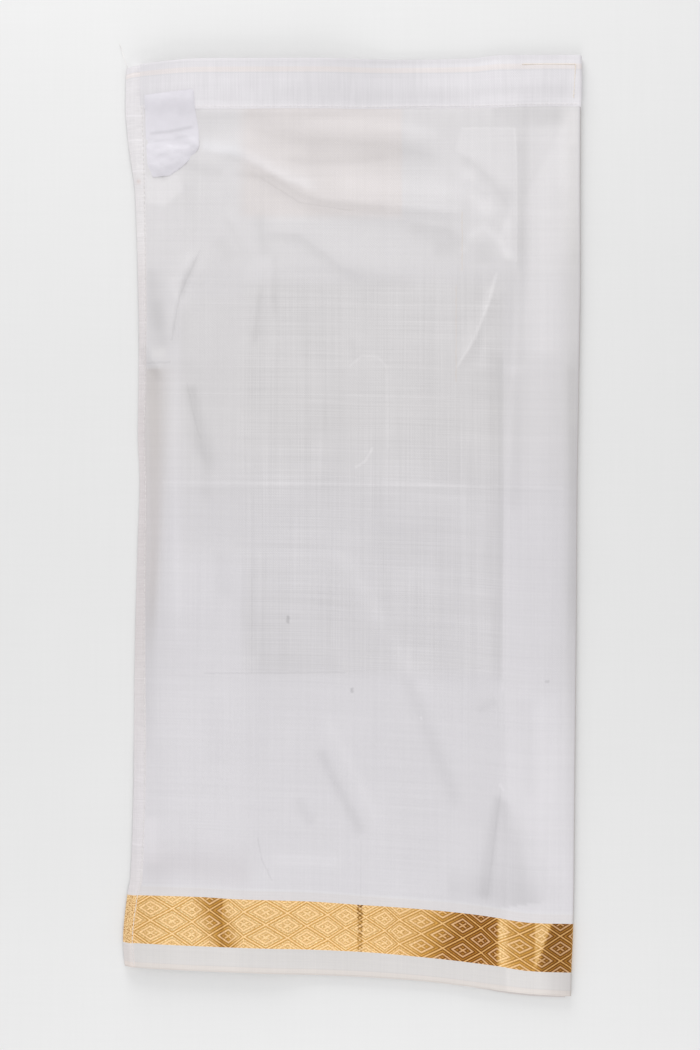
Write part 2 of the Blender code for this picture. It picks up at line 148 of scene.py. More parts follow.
# Smaller creases that only the thin cloth has
CREASES = table("name path rise left right fade", (
    ("thigh crease", ((-100.8, 171.6), (-106.4, 149.9), (-110.1, 125.1), (-110.7, 108.3)), 0.55, 2.6, 1.2,
     14),
    ("lower thigh crease", ((-102.7, 92.2), (-99.6, 69.3), (-93.4, 42.6)), 0.35, 2.0, 3.5, 14),
    ("short crease", ((-47.5, 167.2), (-48.7, 151.7), (-50.6, 138.1)), 0.5, 4.0, 1.6, 9),
    ("lower short crease", ((-58.7, 150.5), (-58.7, 133.1), (-60.5, 114.5)), 0.4, 3.5, 1.4, 9),
    ("hip fold", ((-81.0, 199.5), (-71.1, 182.7), (-63.6, 164.1)), 0.6, 5.0, 3.0, 12),
    ("sickle crease", ((89.5, 157.3), (83.9, 137.5), (75.3, 117.0), (65.3, 98.4)), 0.35, 1.2, 1.2, 8),
    ("tick crease", ((11.4, 48.2), (6.4, 42.0), (1.5, 36.4)), 0.3, 1.2, 1.2, 4),
    ("knee crease", ((-63.6, -195.5), (-56.2, -207.9), (-48.7, -219.0)), -0.4, 1.8, 3.2, 8),
    ("left of the apex", ((93.2, -162.0), (89.5, -188.0), (84.6, -214.1), (81.5, -234.5)), -0.3, 5.0, 2.5, 6),
    ("right of the apex", ((93.2, -162.0), (101.3, -183.1), (112.5, -207.9), (123.0, -230.2)), 0.25, 3.0,
     4.0, 6),
    ("low fold, left", ((-32.6, -129.1), (-19.0, -149.6), (-4.1, -173.2)), -0.5, 5.0, 7.0, 14),
    ("low fold, crest", ((-16.5, -117.4), (-0.4, -145.9), (14.5, -181.8)), 0.5, 6.0, 6.0, 16),
    ("low fold, right", ((33.1, -90.1), (48.0, -122.9), (64.1, -160.1)), -0.45, 6.0, 6.0, 16),
    ("shin fold", ((-35.1, -169.4), (-21.5, -193.0), (-14.0, -212.8)), 0.35, 5.0, 5.0, 10),
))

FLAP_STEP = table("y drop groove", (
    (272, 0.0, 0.0),
    (250, 1.2, 0.0),
    (165, 1.2, 0.2),
    (120, 0.0, 0.6),
    (0, 0.0, 0.7),
    (-150, 0.0, 0.5),
    (-230, 0.0, 0.9),
    (-292, 0.0, 1.0),
))

LIFTS = table("edge start end rise reach", (
    ("top", -154, 28, 4.8, 46),
    ("top", 76, 140, 0.6, 34),
    ("top", -20, 170, -0.9, 8),
    ("lower", -160, -20, 3.0, 46),
    ("lower", 62, 152, 0.7, 44),
    ("lower", -230, 230, -0.9, 8),
))

LABEL = table("down left_x left_y right_x right_y curl", (
    (0.00, -128.8, 267.0, -98.5, 270.1, 0.3),
    (0.25, -128.4, 254.6, -97.3, 257.3, 0.0),
    (0.50, -128.2, 242.2, -95.4, 244.5, 0.5),
    (0.65, -127.8, 234.8, -95.2, 236.0, 1.3),
    (0.80, -127.4, 227.0, -99.2, 229.6, 0.6),
    (0.92, -126.2, 220.6, -106.0, 222.6, 1.2),
    (1.00, -123.6, 216.6, -113.0, 217.6, 0.4),
))


# Painted shade and light along the label's creases and its lower edge: path, half width and levels of tone
LABEL_CREASES = (
    (((-128.1, 267), (-97.7, 268.3)), 7, 5),
    (((-126.9, 243.5), (-113.2, 244.7), (-97.7, 247.8)), 1, -15),
    (((-125, 238.5), (-113.2, 239.8), (-100.8, 242.2)), 1, -8),
    (((-128.1, 234.2), (-116.3, 236), (-99.6, 233.6)), 2.4, 5),
    (((-94.6, 236), (-103.3, 227.4), (-113.8, 221.2), (-125.6, 217.4)), 5, -9),
    (((-121.9, 229.8), (-112, 232.3)), 1.6, -6),
)


# ---------------------------------------------------------------- the form

def ease(start, end, value):
    """0 before start, 1 after end, and a smooth rise between them."""
    part = np.clip((value - start) / (end - start), 0.0, 1.0)
    return part * part * (3.0 - 2.0 * part)


def read(table, column, at):
    """A column of a table at places on its first column, on a curve through its rows."""
    rows = sorted((row[0], getattr(row, column)) for row in table)
    xs, ys = np.array(rows, dtype=float).T
    slopes = np.diff(ys) / np.diff(xs)
    before, after = slopes[:-1], slopes[1:]
    total = np.where(before + after == 0.0, 1.0, before + after)
    inner = np.where(before * after > 0.0, 2.0 * before * after / total, 0.0)
    tangents = np.concatenate([slopes[:1], inner, slopes[-1:]])
    at = np.clip(at, xs[0], xs[-1])
    index = np.clip(np.searchsorted(xs, at, side="right") - 1, 0, len(xs) - 2)
    span = xs[index + 1] - xs[index]
    part = (at - xs[index]) / span
    rise = 3 * part**2 - 2 * part**3
    return (ys[index] + (ys[index + 1] - ys[index]) * rise
            + tangents[index] * span * (part**3 - 2 * part**2 + part)
            + tangents[index + 1] * span * (part**3 - part**2))


def along(path, x, y):
    """How far places are to the left of a path, how far along it, and the path's length."""
    nearest = np.full(np.shape(x), np.inf)
    side_of = np.zeros(np.shape(x))
    run_of = np.zeros(np.shape(x))
    walked = 0.0
    total = sum(math.dist(a, b) for a, b in zip(path, path[1:]))
    for (ax, ay), (bx, by) in zip(path, path[1:]):
        length = math.dist((ax, ay), (bx, by))
        ux, uy = (bx - ax) / length, (by - ay) / length
        held = np.clip((x - ax) * ux + (y - ay) * uy, 0.0, length)
        away = np.hypot(x - ax - ux * held, y - ay - uy * held)
        side = ux * (y - ay) - uy * (x - ax)
        closer = away < nearest
        side_of = np.where(closer, np.copysign(away, side), side_of)
        run_of = np.where(closer, walked + held, run_of)
        nearest = np.minimum(nearest, away)
        walked += length
    return side_of, run_of, total


def bump_along(fold, x, y):
    """1 on a fold's path, dying away over its two sides and at its ends."""
    side, run, total = along(fold.path, x, y)
    width = np.where(side > 0.0, fold.left, fold.right)
    return np.exp(-(side / width) ** 2) * ease(0.0, fold.fade, np.minimum(run, total - run))


def fold_height(x, y):
    """Height of the source's folds, and of the step and the groove at the flap's line."""
    height = sum(fold.rise * bump_along(fold, x, y) for fold in FOLDS)
    line = x - read(SIDES, "flap", y)
    height += read(FLAP_STEP, "drop", y) * (1.0 - ease(0.0, 9.0, line)) * ease(-60.0, -2.0, line)
    height -= read(FLAP_STEP, "groove", y) * ease(-20.0, -1.0, line) * (1.0 - ease(-1.0, 4.0, line))
    return height


def edge_lift(x, y):
    """How far the packet stands up off the table near its top and lower edges."""
    height = 0.0
    for lift in LIFTS:
        edge = read(LINES, lift.edge, x)
        away = edge - y if lift.edge == "top" else y - edge
        span = 0.5 * (lift.end - lift.start)
        across = 1.0 - ease(0.45 * span, span, np.abs(x - 0.5 * (lift.start + lift.end)))
        height = height + lift.rise * across * (1.0 - ease(0.0, lift.reach, away))
    return height


def inward(x, y):
    """1 well inside the hidden layers, 0 at their edges."""
    from_left = x - read(SIDES, "left", y) - read(SIDES, "roll", y)
    from_right = read(SIDES, "right", y) - FOLD_RADIUS - x
    from_top = read(LINES, "top", x) - y
    from_lower = y - read(LINES, "lower", x)
    return (ease(0.0, LEFT_ROUNDING, from_left) * ease(0.0, RIGHT_ROUNDING, from_right)
            * ease(0.0, END_ROUNDING, from_top) * ease(0.0, END_ROUNDING, from_lower))


def ripple(x, y, size_x, size_y, seed):
    """Smooth unevenness between -1 and 1, with bumps of about the given sizes."""
    knots = np.random.default_rng(seed).uniform(-1.0, 1.0, (64, 64))
    gx, gy = x / size_x + 900.0, y / size_y + 900.0
    ix, iy = np.floor(gx).astype(int), np.floor(gy).astype(int)
    fx, fy = ease(0.0, 1.0, gx - ix), ease(0.0, 1.0, gy - iy)
    low = knots[ix % 64, iy % 64] * (1 - fx) + knots[(ix + 1) % 64, iy % 64] * fx
    high = knots[ix % 64, (iy + 1) % 64] * (1 - fx) + knots[(ix + 1) % 64, (iy + 1) % 64] * fx
    return low * (1 - fy) + high * fy


def cloth_top(x, y):
    """Height of the top layer's upper face."""
    inside = inward(x, y)
    lift = edge_lift(x, y)
    bed = RIM_HEIGHT + CROWN_HEIGHT * inside + BED_LIFT * lift
    seen = ease(0.0, 0.3, inside)
    loft = AIR + PUFF * inside + np.maximum(fold_height(x, y) * seen, -PUFF * inside)
    fine = sum(fold.rise * bump_along(fold, x, y) for fold in CREASES)
    fine = fine + 0.13 * ripple(x, y, 21.0, 26.0, 11) + 0.05 * ripple(x, y, 8.0, 7.0, 12)
    resting = bed + loft + (1.0 - BED_LIFT) * lift + fine * seen
    over_table = x - read(SIDES, "left", y)
    roll = read(SIDES, "roll", y)
    held_up = ease(np.maximum(roll - 9.0, -1.6), np.maximum(roll - 0.5, 4.6), over_table)
    on_table = TABLE_GAP + 0.12 * (1.0 + ripple(x, y, 9.0, 14.0, 13))
    return on_table + (CLOTH + resting - on_table) * held_up


def between(guides, place):
    """A value between five guides, at places from 0 to 4."""
    guides = np.stack(guides)
    index = np.minimum(place.astype(int), 3)[None]
    low, high = (np.take_along_axis(guides, index + step, 0)[0] for step in (0, 1))
    return low + (high - low) * (place - index[0])


def guide_x(place, y):
    """x at a place across: edge 0, hem 1, near side 2, flap line 3, start of the fold 4."""
    left = read(SIDES, "left", y)
    return between([left, left + read(SIDES, "hem", y), left + NEAR_SIDE, read(SIDES, "flap", y),
                    read(SIDES, "right", y) - FOLD_RADIUS], place)


def guide_y(place, x):
    """y at a place down: top 0, casing seam 1, border 2, end of the border 3, lower edge 4."""
    names = ("top", "seam", "border", "border_end", "lower")
    return between([read(LINES, name, x) for name in names], place)


def plan(across, down, shift_x=0.0, shift_y=0.0):
    """x and y of places on the packet, or on its underside past the fold."""
    x, y = np.zeros(np.shape(across)), np.zeros(np.shape(across))
    below = np.clip(across - FOLD_END, 0.0, 1.0)
    for _ in range(5):
        y = guide_y(down, x) + shift_y
        x = guide_x(np.minimum(across, FOLD_START), y) + shift_x
        x = x + (under_left(y) - x) * below
    return x, y


def under_left(y):
    """x of the left edge of the layers that lie under the top one."""
    return read(SIDES, "left", y) + read(SIDES, "roll", y - LAYER_LEAD)


def on_cloth(across, down, out, shift_x=0.0, shift_y=0.0):
    """Points moved out of the cloth's outer face, over the fold and on underneath."""
    across, down = np.broadcast_arrays(np.asarray(across, float), np.asarray(down, float))
    x, y = plan(across, down, shift_x, shift_y)
    height = cloth_top(x, y)
    angle = math.pi * np.clip(across - FOLD_START, 0.0, 1.0)
    z = 0.5 * height + (0.5 * height + out) * np.cos(angle)
    top, lower = read(LINES, "top", x), read(LINES, "lower", x)
    part = (top - y) / (top - lower)
    inset = -UNDER_INSET + (UNDER_INSET + read(LINES, "short", x)) * part
    x = x + (FOLD_RADIUS + out) * np.sin(angle)
    y = y + inset * ease(4.2, 5.1, across)
    return np.stack([x, y, z], axis=-1)


def cloth_place(across, down):
    """Where points are on the cloth itself: x round the fold and back under, y down the weave."""
    across, down = np.broadcast_arrays(np.asarray(across, float), np.asarray(down, float))
    flat = np.zeros(across.shape)
    x, _ = plan(np.minimum(across, FOLD_START), down)
    x = x + TURN_LENGTH * np.clip(across - FOLD_START, 0.0, 1.0)
    x = x + UNDER_LENGTH * np.clip(across - FOLD_END, 0.0, 1.0)
    return np.stack([x, guide_y(down, flat), flat], axis=-1)


# ---------------------------------------------------------------- meshes

def steps(*stretches):
    """Places along an axis: (start, end, number of steps) for each stretch."""
    places = [np.linspace(start, end, count, endpoint=False) for start, end, count in stretches]
    return np.concatenate(places + [[stretches[-1][1]]])


def in_frame(points):
    """Points of the tables' frame in metres, with the packet centred."""
    return (np.asarray(points) - np.array([CENTRE[0], CENTRE[1], 0.0])) * MM


def grid_faces(rows, columns, first=0):
    """Four-sided faces of a grid of points, from the given index on."""
    start = first + np.arange(rows - 1)[:, None] * columns + np.arange(columns - 1)[None, :]
    quads = np.stack([start, start + columns, start + columns + 1, start + 1], axis=-1)
    return quads.reshape(-1, 4)


def rim_of(rows, columns):
    """Indices round the edge of a grid, the corners once each."""
    index = np.arange(rows * columns).reshape(rows, columns)
    return np.concatenate([index[0, :], index[1:, -1], index[-1, -2::-1], index[-2:0:-1, 0]])


def make_object(name, points, faces, material, cloth=None, tone=None, sharp=38.0):
    """A smooth mesh in the scene; cloth and tone are kept at its points for the material."""
    mesh = bpy.data.meshes.new(name)
    mesh.from_pydata(in_frame(points).tolist(), [], faces)
    if cloth is not None:
        mesh.attributes.new("cloth", "FLOAT_VECTOR", "POINT").data.foreach_set("vector", np.ravel(cloth))
    if tone is not None:
        tone = np.hstack([tone, np.ones((len(tone), 1))])
        mesh.attributes.new("tone", "FLOAT_COLOR", "POINT").data.foreach_set("color", np.ravel(tone))
    model = bmesh.new()
    model.from_mesh(mesh)
    bmesh.ops.recalc_face_normals(model, faces=model.faces)
    if model.calc_volume(signed=True) < 0.0:
        bmesh.ops.reverse_faces(model, faces=model.faces)
    model.to_mesh(mesh)
    model.free()
    mesh.shade_smooth()
    mesh.set_sharp_from_angle(angle=math.radians(sharp))
    mesh.materials.append(material)
    piece = bpy.data.objects.new(name, mesh)
    bpy.context.scene.collection.objects.link(piece)
    return piece


def shell(name, outer, inner, every, material, cloth, tone=None):
    """A closed thin shell: a fine outer grid and an inner one with a point for every few of it."""
    rows, columns = outer.shape[:2]
    inner_rows, inner_columns = inner.shape[:2]
    below = rows * columns
    faces = grid_faces(rows, columns).tolist()
    faces += grid_faces(inner_rows, inner_columns, below)[:, ::-1].tolist()
    outer_rim, inner_rim = rim_of(rows, columns), rim_of(inner_rows, inner_columns) + below
    count = len(outer_rim)
    for index, start in enumerate(inner_rim):
        end = inner_rim[(index + 1) % len(inner_rim)]
        reach = [int(outer_rim[(index * every + step) % count]) for step in range(every + 1)]
        faces.append(reach + [int(end), int(start)])
    points = np.concatenate([outer.reshape(-1, 3), inner.reshape(-1, 3)])
    cloth, tone = (None if values is None else
                   np.concatenate([values.reshape(-1, 3), values[::every, ::every].reshape(-1, 3)])
                   for values in (cloth, tone))
    return make_object(name, points, faces, material, cloth, tone)


def lowest_near(height, reach):
    """The lowest of a grid of heights within so many points each way."""
    padded = np.pad(height, reach, mode="edge")
    rows, columns = height.shape
    low = height.copy()
    for row in range(2 * reach + 1):
        for column in range(2 * reach + 1):
            low = np.minimum(low, padded[row:row + rows, column:column + columns])
    return low


# ---------------------------------------------------------------- node materials

class Graph:
    """A material's nodes, built by small calls; any value may be a number or a socket."""

    def __init__(self, name):
        self.material = bpy.data.materials.new(name)
        self.material.use_nodes = True
        self.tree = self.material.node_tree
        self.shader = self.tree.nodes["Principled BSDF"]

    def feed(self, socket, value):
        if isinstance(value, bpy.types.NodeSocket):
            self.tree.links.new(value, socket)
        else:
            socket.default_value = value

    def node(self, kind, inputs=(), **settings):
        made = self.tree.nodes.new(kind)
        for name, value in settings.items():
            setattr(made, name, value)
        for key, value in dict(inputs).items():
            self.feed(made.inputs[key], value)
        return made

    def math(self, operation, *values, clamp=False):
        return self.node("ShaderNodeMath", enumerate(values), operation=operation, use_clamp=clamp).outputs[0]

    def plus(self, a, b):
        return self.math("ADD", a, b)

    def minus(self, a, b):
        return self.math("SUBTRACT", a, b)

    def times(self, a, b):
        return self.math("MULTIPLY", a, b)

    def times_plus(self, a, b, c):
        return self.math("MULTIPLY_ADD", a, b, c)

    def larger(self, a, b):
        return self.math("MAXIMUM", a, b)

    def wave(self, value, length):
        """A sine wave, so many millimetres for half a turn."""
        return self.math("SINE", self.times(value, math.pi / length))

    def vector(self, operation, *values):
        made = self.node("ShaderNodeVectorMath", enumerate(values), operation=operation)
        return made.outputs["Value" if operation in ("DISTANCE", "DOT_PRODUCT") else "Vector"]

    def scaled(self, vector, share):
        made = self.node("ShaderNodeVectorMath", {0: vector, "Scale": share}, operation="SCALE")
        return made.outputs["Vector"]

    def attribute(self, name, output):
        return self.node("ShaderNodeAttribute", attribute_name=name).outputs[output]

    def toned(self, colour):
        """A colour with the tone of each point."""
        return self.mix(1.0, colour, self.attribute("tone", "Color"), "MULTIPLY")

    def split(self, vector):
        return self.node("ShaderNodeSeparateXYZ", {0: vector}).outputs

    def join(self, *values):
        return self.node("ShaderNodeCombineXYZ", enumerate(values)).outputs[0]

    def noise(self, vector, detail=1.0, roughness=0.5):
        return self.node("ShaderNodeTexNoise", {"Vector": vector, "Scale": 1.0, "Detail": detail,
                                                "Roughness": roughness}).outputs["Fac"]

    def patches(self, x, y, across, down, seed=0.0, **settings):
        """Noise with so many patches a millimetre across and down the cloth."""
        return self.noise(self.join(self.times(x, across), self.times(y, down), seed), **settings)

    def remap(self, value, low, high, to_low=0.0, to_high=1.0):
        return self.node("ShaderNodeMapRange", enumerate((value, low, high, to_low, to_high))).outputs[0]

    def mix(self, factor, a, b, blend="MIX"):
        made = self.node("ShaderNodeMix", data_type="RGBA", blend_type=blend)
        self.feed(made.inputs[0], factor)
        self.feed(made.inputs[6], (*a, 1.0) if isinstance(a, tuple) and len(a) == 3 else a)
        self.feed(made.inputs[7], (*b, 1.0) if isinstance(b, tuple) and len(b) == 3 else b)
        return made.outputs[2]

    def finish(self, colour, roughness, bump, distance, strength, **constant):
        """Connects the shader; bump is a relief, so deep in metres."""
        self.feed(self.shader.inputs["Base Color"], colour)
        self.feed(self.shader.inputs["Roughness"], roughness)
        for name, value in constant.items():
            self.shader.inputs[name.replace("_", " ")].default_value = value
        normal = self.node("ShaderNodeBump", {"Height": bump, "Distance": distance, "Strength": strength})
        self.feed(self.shader.inputs["Normal"], normal.outputs[0])
        return self.material


def uneven_yarn(graph, x, y, amounts, seed=0.0):
    """Streaks of thicker and thinner yarn, across and down the cloth, around 1."""
    total = 1.0
    for index, (size_x, size_y, amount) in enumerate(amounts):
        streak = graph.minus(graph.patches(x, y, 1.0 / size_x, 1.0 / size_y, 3.7 * index + seed), 0.5)
        total = graph.times_plus(streak, amount, total)
    return total


def plain_weave(graph, x, y):
    """Height of a plain weave: threads over and under each other, and slightly crooked."""
    shift = graph.times(graph.patches(x, y, 0.25, 0.25, detail=2.0), 1.2)
    across = graph.wave(graph.plus(x, shift), WEAVE_PITCH)
    down = graph.wave(graph.plus(y, shift), WEAVE_PITCH)
    return graph.times_plus(graph.times(across, down), 0.5, 0.5)


def shade_and_height(graph, streaks, weave):
    """The light and the relief of woven cotton."""
    return (graph.times(streaks, graph.times_plus(weave, 0.06, 0.97)),
            graph.plus(weave, graph.times(streaks, 1.5)))


WEAVE_PITCH = 0.5          # half of what the plain weave repeats in
OPEN_ACROSS = (-70.0, 91.0, 5.0)        # where the weave shows most: from, to, softness
OPEN_DOWN = (-92.0, 155.0, 8.0)

# Uneven yarn: the size of its streaks across and down, and how strong they are
FIELD_YARN = ((70.0, 0.62, 0.075), (0.66, 80.0, 0.065), (140.0, 3.1, 0.035), (4.2, 160.0, 0.035),
              (38.0, 42.0, 0.05))
CASING_YARN = ((70.0, 0.62, 0.07), (0.75, 26.0, 0.13), (3.0, 40.0, 0.04), (55.0, 60.0, 0.04))
HEM_YARN = ((9.0, 0.7, 0.16), (0.6, 60.0, 0.10), (20.0, 5.0, 0.06))
TABLE_YARN = ((60.0, 1.6, 0.016), (1.6, 60.0, 0.016), (90.0, 70.0, 0.02))

# Places down the cloth
CASING_TOP, SEAM_LINE, BORDER_TOP, LOWER_EDGE = (
    float(read(LINES, name, 0.0)) for name in ("top", "seam", "border", "lower"))
SELVEDGE = 3.6             # the cream edge below the gold border

# Bands woven across the cloth: from, to, softness, and the share of light each colour keeps
Zone = namedtuple("Zone", "low high soft share")


def zone_mask(graph, y, low, high, soft):
    """1 between low and high, 0 outside."""
    rising = graph.remap(y, low - soft, low + soft)
    falling = graph.remap(y, high - soft, high + soft, 1.0, 0.0)
    return graph.times(rising, falling)


def in_zones(graph, y, base, zones):
    """A colour with the woven bands across it."""
    for zone in zones:
        mask = zone_mask(graph, y, zone.low, zone.high, zone.soft)
        base = graph.mix(mask, base, graph.vector("MULTIPLY", base, zone.share))
    return base


# Crisp lines on the cloth: slubs and the edges of layers below it, and painted shade and light
# along pressed creases, steps and wrinkle edges.  Each runs through its points, so wide, and adds
# so many levels where the cloth reads 215.
MARKS = table("name path width levels", (
    ("upper weft line", ((-97.7, 138.7), (-14, 138.1), (94.5, 136.8)), 0.7, 3),
    ("thigh weft line", ((-117.6, 82.9), (-32.6, 82.3), (63.5, 80.4)), 0.8, 4),
    ("packing crease", ((-117.6, 27.7), (29.4, 25.9), (129.8, 24)), 1.7, 3),
    ("packing crease, right", ((41.8, 26.0), (91.4, 24.8)), 1.8, 2.5),
    ("weft line above it", ((-92, 31.3), (2, 31.1)), 0.9, 2.5),
    ("sickle crease", ((88.9, 156.1), (84, 138), (75.3, 116.5), (64.7, 99)), 1.7, 6.5),
    ("arch", ((-1.6, 99.6), (5.8, 105.8), (15.1, 105.2), (21.3, 99), (21.9, 48.8)), 1.5, 4),
    ("tick", ((12, 48.2), (7.7, 40.7), (2.1, 37)), 1.6, 8),
    ("inner side edge", ((-62.4, -31.8), (-62.4, -90.7)), 0.8, -4),
    ("inner lower edge", ((-91.5, -90.7), (-62.4, -90.7), (-4.7, -90.1)), 1.1, -6),
    ("inner lower edge, right", ((-4.7, -89.5), (79, -87.6)), 0.8, -2.5),
    ("brown thread, upper", ((67.8, 194.5), (67.8, 158.5)), 0.6, (-1, -5, -10)),
    ("brown thread, lower", ((64.1, 149.2), (64.1, 89.7)), 0.6, (0, -4, -8)),
    ("inner edge, right", ((63.5, 89.7), (64.7, -70.2)), 0.7, 2.5),
    ("slub", ((-40.1, -56), (-40.1, -59.1)), 2, -20),
    ("small slub", ((-0.4, -100.6), (-0.4, -101.9)), 2, -20),
    ("side slub", ((119.9, -95.7), (121.1, -95.7)), 1.6, -14),
    ("knee crease", ((-58.7, -193), (-56.2, -206.6), (-50, -219)), 1, -6),
    ("layer corner", ((67.8, 246.6), (100.1, 246.6), (101.3, 227.4), (101.3, 164.1)), 0.9, 5),
    ("step", ((-128.7, 101.5), (-113.2, 102.1)), 1.1, -6),
    ("weft line at the step", ((-112, 99.6), (-1.6, 99)), 0.6, 2),
    ("corner edge", ((92, -162), (88.3, -191.1), (82.7, -233.3)), 1.3, -3),
    ("apex", ((91.4, -160.1), (93.2, -163.2)), 1.8, 6),
    ("pucker", ((5.2, -194.2), (5.2, -229.6)), 0.9, -4),
    ("long wrinkle, edge", ((-56.2, 215.6), (-32.6, 200.7), (-0.4, 195.7)), 0.9, -5),
    ("thigh crease, edge", ((-94.6, 170.9), (-107, 143), (-112, 115.8)), 1, -5),
    ("lower thigh crease, edge", ((-102.7, 89.1), (-99, 71.1), (-94.6, 55)), 1.1, -4),
    ("flap edge", ((93.9, 108.3), (93.9, 4.2), (93.2, -101.2)), 0.8, 3),
    ("crease below the seam", ((48.6, 259), (89.5, 259)), 1, 5),
    ("low mark", ((42.4, -118), (43, -119.2)), 1.2, 10),
))


def channels(levels):
    """Levels of red, green and blue; one number stands for all three."""
    return levels if isinstance(levels, tuple) else (levels, levels, levels)


def mark_levels(graph, marks):
    """What the marks add at each place of the upper face."""
    place = graph.node("ShaderNodeTexCoord").outputs["Object"]
    place = graph.vector("MULTIPLY_ADD", place, (1.0 / MM, 1.0 / MM, 0.0), (*CENTRE, 0.0))
    uneven = graph.node("ShaderNodeTexNoise", {"Vector": place, "Scale": 0.45}).outputs["Color"]
    wander = graph.vector("MULTIPLY", graph.vector("SUBTRACT", uneven, (0.5, 0.5, 0.5)), (1.6, 1.6, 0.0))
    place = graph.vector("ADD", place, wander)
    total = (0.0, 0.0, 0.0)
    for mark in marks:
        mask = None
        for (ax, ay), (bx, by) in zip(mark.path, mark.path[1:]):
            reach = (bx - ax, by - ay, 0.0)
            span = reach[0] ** 2 + reach[1] ** 2
            from_start = graph.vector("SUBTRACT", place, (ax, ay, 0.0))
            part = graph.vector("DOT_PRODUCT", from_start, (reach[0] / span, reach[1] / span, 0.0))
            held = graph.scaled(reach, graph.math("ADD", part, 0.0, clamp=True))
            away = graph.vector("DISTANCE", from_start, held)
            near = graph.remap(away, 0.25 * mark.width, 0.75 * mark.width, 1.0, 0.0)
            mask = graph.larger(mask, near) if mask else near
        total = graph.vector("ADD", graph.scaled(channels(mark.levels), mask), total)
    return total


def cotton(name, colour, yarn=FIELD_YARN, seed=0.0, toned=True, zones=(), marks=(), open_weave=0.0):
    """Plain-woven cotton: uneven yarn, each point's tone with its painted shade and light, and woven bands.
    """
    graph = Graph(name)
    x, y, _ = graph.split(graph.attribute("cloth", "Vector"))
    streaks = uneven_yarn(graph, x, y, yarn, seed)
    if open_weave:
        area = graph.times(zone_mask(graph, x, *OPEN_ACROSS), zone_mask(graph, y, *OPEN_DOWN))
        uneven = graph.remap(graph.patches(x, y, 0.045, 0.06, 4.0, detail=2.0), 0.3, 0.6, 0.35, 1.3)
        gain = graph.times_plus(graph.times(area, uneven), open_weave, 1.0)
        streaks = graph.times_plus(graph.minus(streaks, 1.0), gain, 1.0)
    shade, height = shade_and_height(graph, streaks, plain_weave(graph, x, y))
    base = in_zones(graph, y, graph.toned(colour) if toned else colour, zones)
    if marks:
        on_top = graph.remap(x, 139.0, 141.0, 1.0, 0.0)
        added = graph.scaled(mark_levels(graph, marks), graph.times(on_top, GAMMA / PAPER_LEVEL))
        base = graph.vector("MULTIPLY", base, graph.vector("ADD", added, (1.0, 1.0, 1.0)))
    return graph.finish(graph.scaled(base, shade), 0.82, height, 0.00012, 0.6, Sheen_Weight=0.15,
                        Sheen_Roughness=0.5, Specular_IOR_Level=0.25)


# The gold border's lattice: diamonds across the band, in half-offset rows
LATTICE_U = 12.09          # half the width of a diamond
LATTICE_V = 7.45           # half its height
LATTICE_AT = (-124.4, 7.5) # a diamond's middle: x, and how far below the border's top
LATTICE_SOFT = 0.02        # softness of its lines' edges
GOLD_PITCH = 0.42          # half of what the brocade's weave repeats in
PUCKERS = ((3.0, 1.1), (6.1, -1.2))     # x of each drawn thread, and how far it swings
SATIN_RIB = 0.3            # half of what the label's ribs repeat in


def lattice(graph, x, v):
    """How far from a diamond's middle, 0 to 1 at its line, and its two diagonal places."""
    u = graph.times(graph.minus(x, LATTICE_AT[0]), 1.0 / LATTICE_U)
    w = graph.times(graph.minus(v, LATTICE_AT[1]), 1.0 / LATTICE_V)
    p, q = (graph.math("ABSOLUTE", graph.math("WRAP", diagonal, 1.0, -1.0))
            for diagonal in (graph.plus(u, w), graph.minus(u, w)))
    return graph.larger(p, q), graph.math("MINIMUM", p, q)


def bands(graph, value, edges):
    """Adds up steps at the given edges: (place, height of the step)."""
    total = 0.0
    for place, step in edges:
        rise = graph.remap(value, place - LATTICE_SOFT, place + LATTICE_SOFT, 0.0, step)
        total = graph.plus(total, rise)
    return total


# Linear colours of the zari's metallic floats and plain threads, painted as shaded and lit copies
# turned from and to the light
GOLD_DARK = (0.39, 0.165, 0.022)
GOLD_HALF = (0.64, 0.34, 0.075)
# The bright floats' grains are partly painted sparkle
GOLD_BRIGHT = ((0.78, 0.445, 0.145), (1.0, 0.78, 0.46))    # between the grains, and on them
THREAD_DARK = (0.76, 0.43, 0.15)
RING_DARK = (0.68, 0.40, 0.20)
THREAD_BRIGHT = (1.0, 0.69, 0.36)
# OUTLINE is the painted shadow along the floats' edges, in the shaded and the lit state
OUTLINE = ((0.135, 0.034, 0.0), (0.65, 0.34, 0.075))
GOLD_WRONG_SIDE = ((0.50, 0.21, 0.035), (1.0, 0.735, 0.39))
AHEAD_ZERO, AHEAD_SHARE = 0.3, 0.1     # how the tone's blue says how far the pattern runs ahead
BORDER_HEIGHT = 29.4       # the gold border, down the cloth


# How far along the border the pattern runs ahead where the cloth is drawn together: x, ahead
CROWDS = (
    (-140, 0.9), (-125, 0.8), (-112, -0.7), (-99, -0.7), (-88.8, 0.5), (-76.8, 0.8), (-67.5, 3.5),
    (-53.9, 1.9), (-40.4, 0.4), (-28.9, 0.7), (-15.2, -0.3), (-4.4, 0.8), (3.0, 0.5), (19.8, 0.6),
    (28.6, 3.8), (42.4, 2.3), (55.7, 1.2), (68.1, 0.8), (79.8, 1.5), (89.2, 3.8), (103.4, 1.9),
    (116.2, 0.2), (128.6, 0.7), (145, 0.7),
)


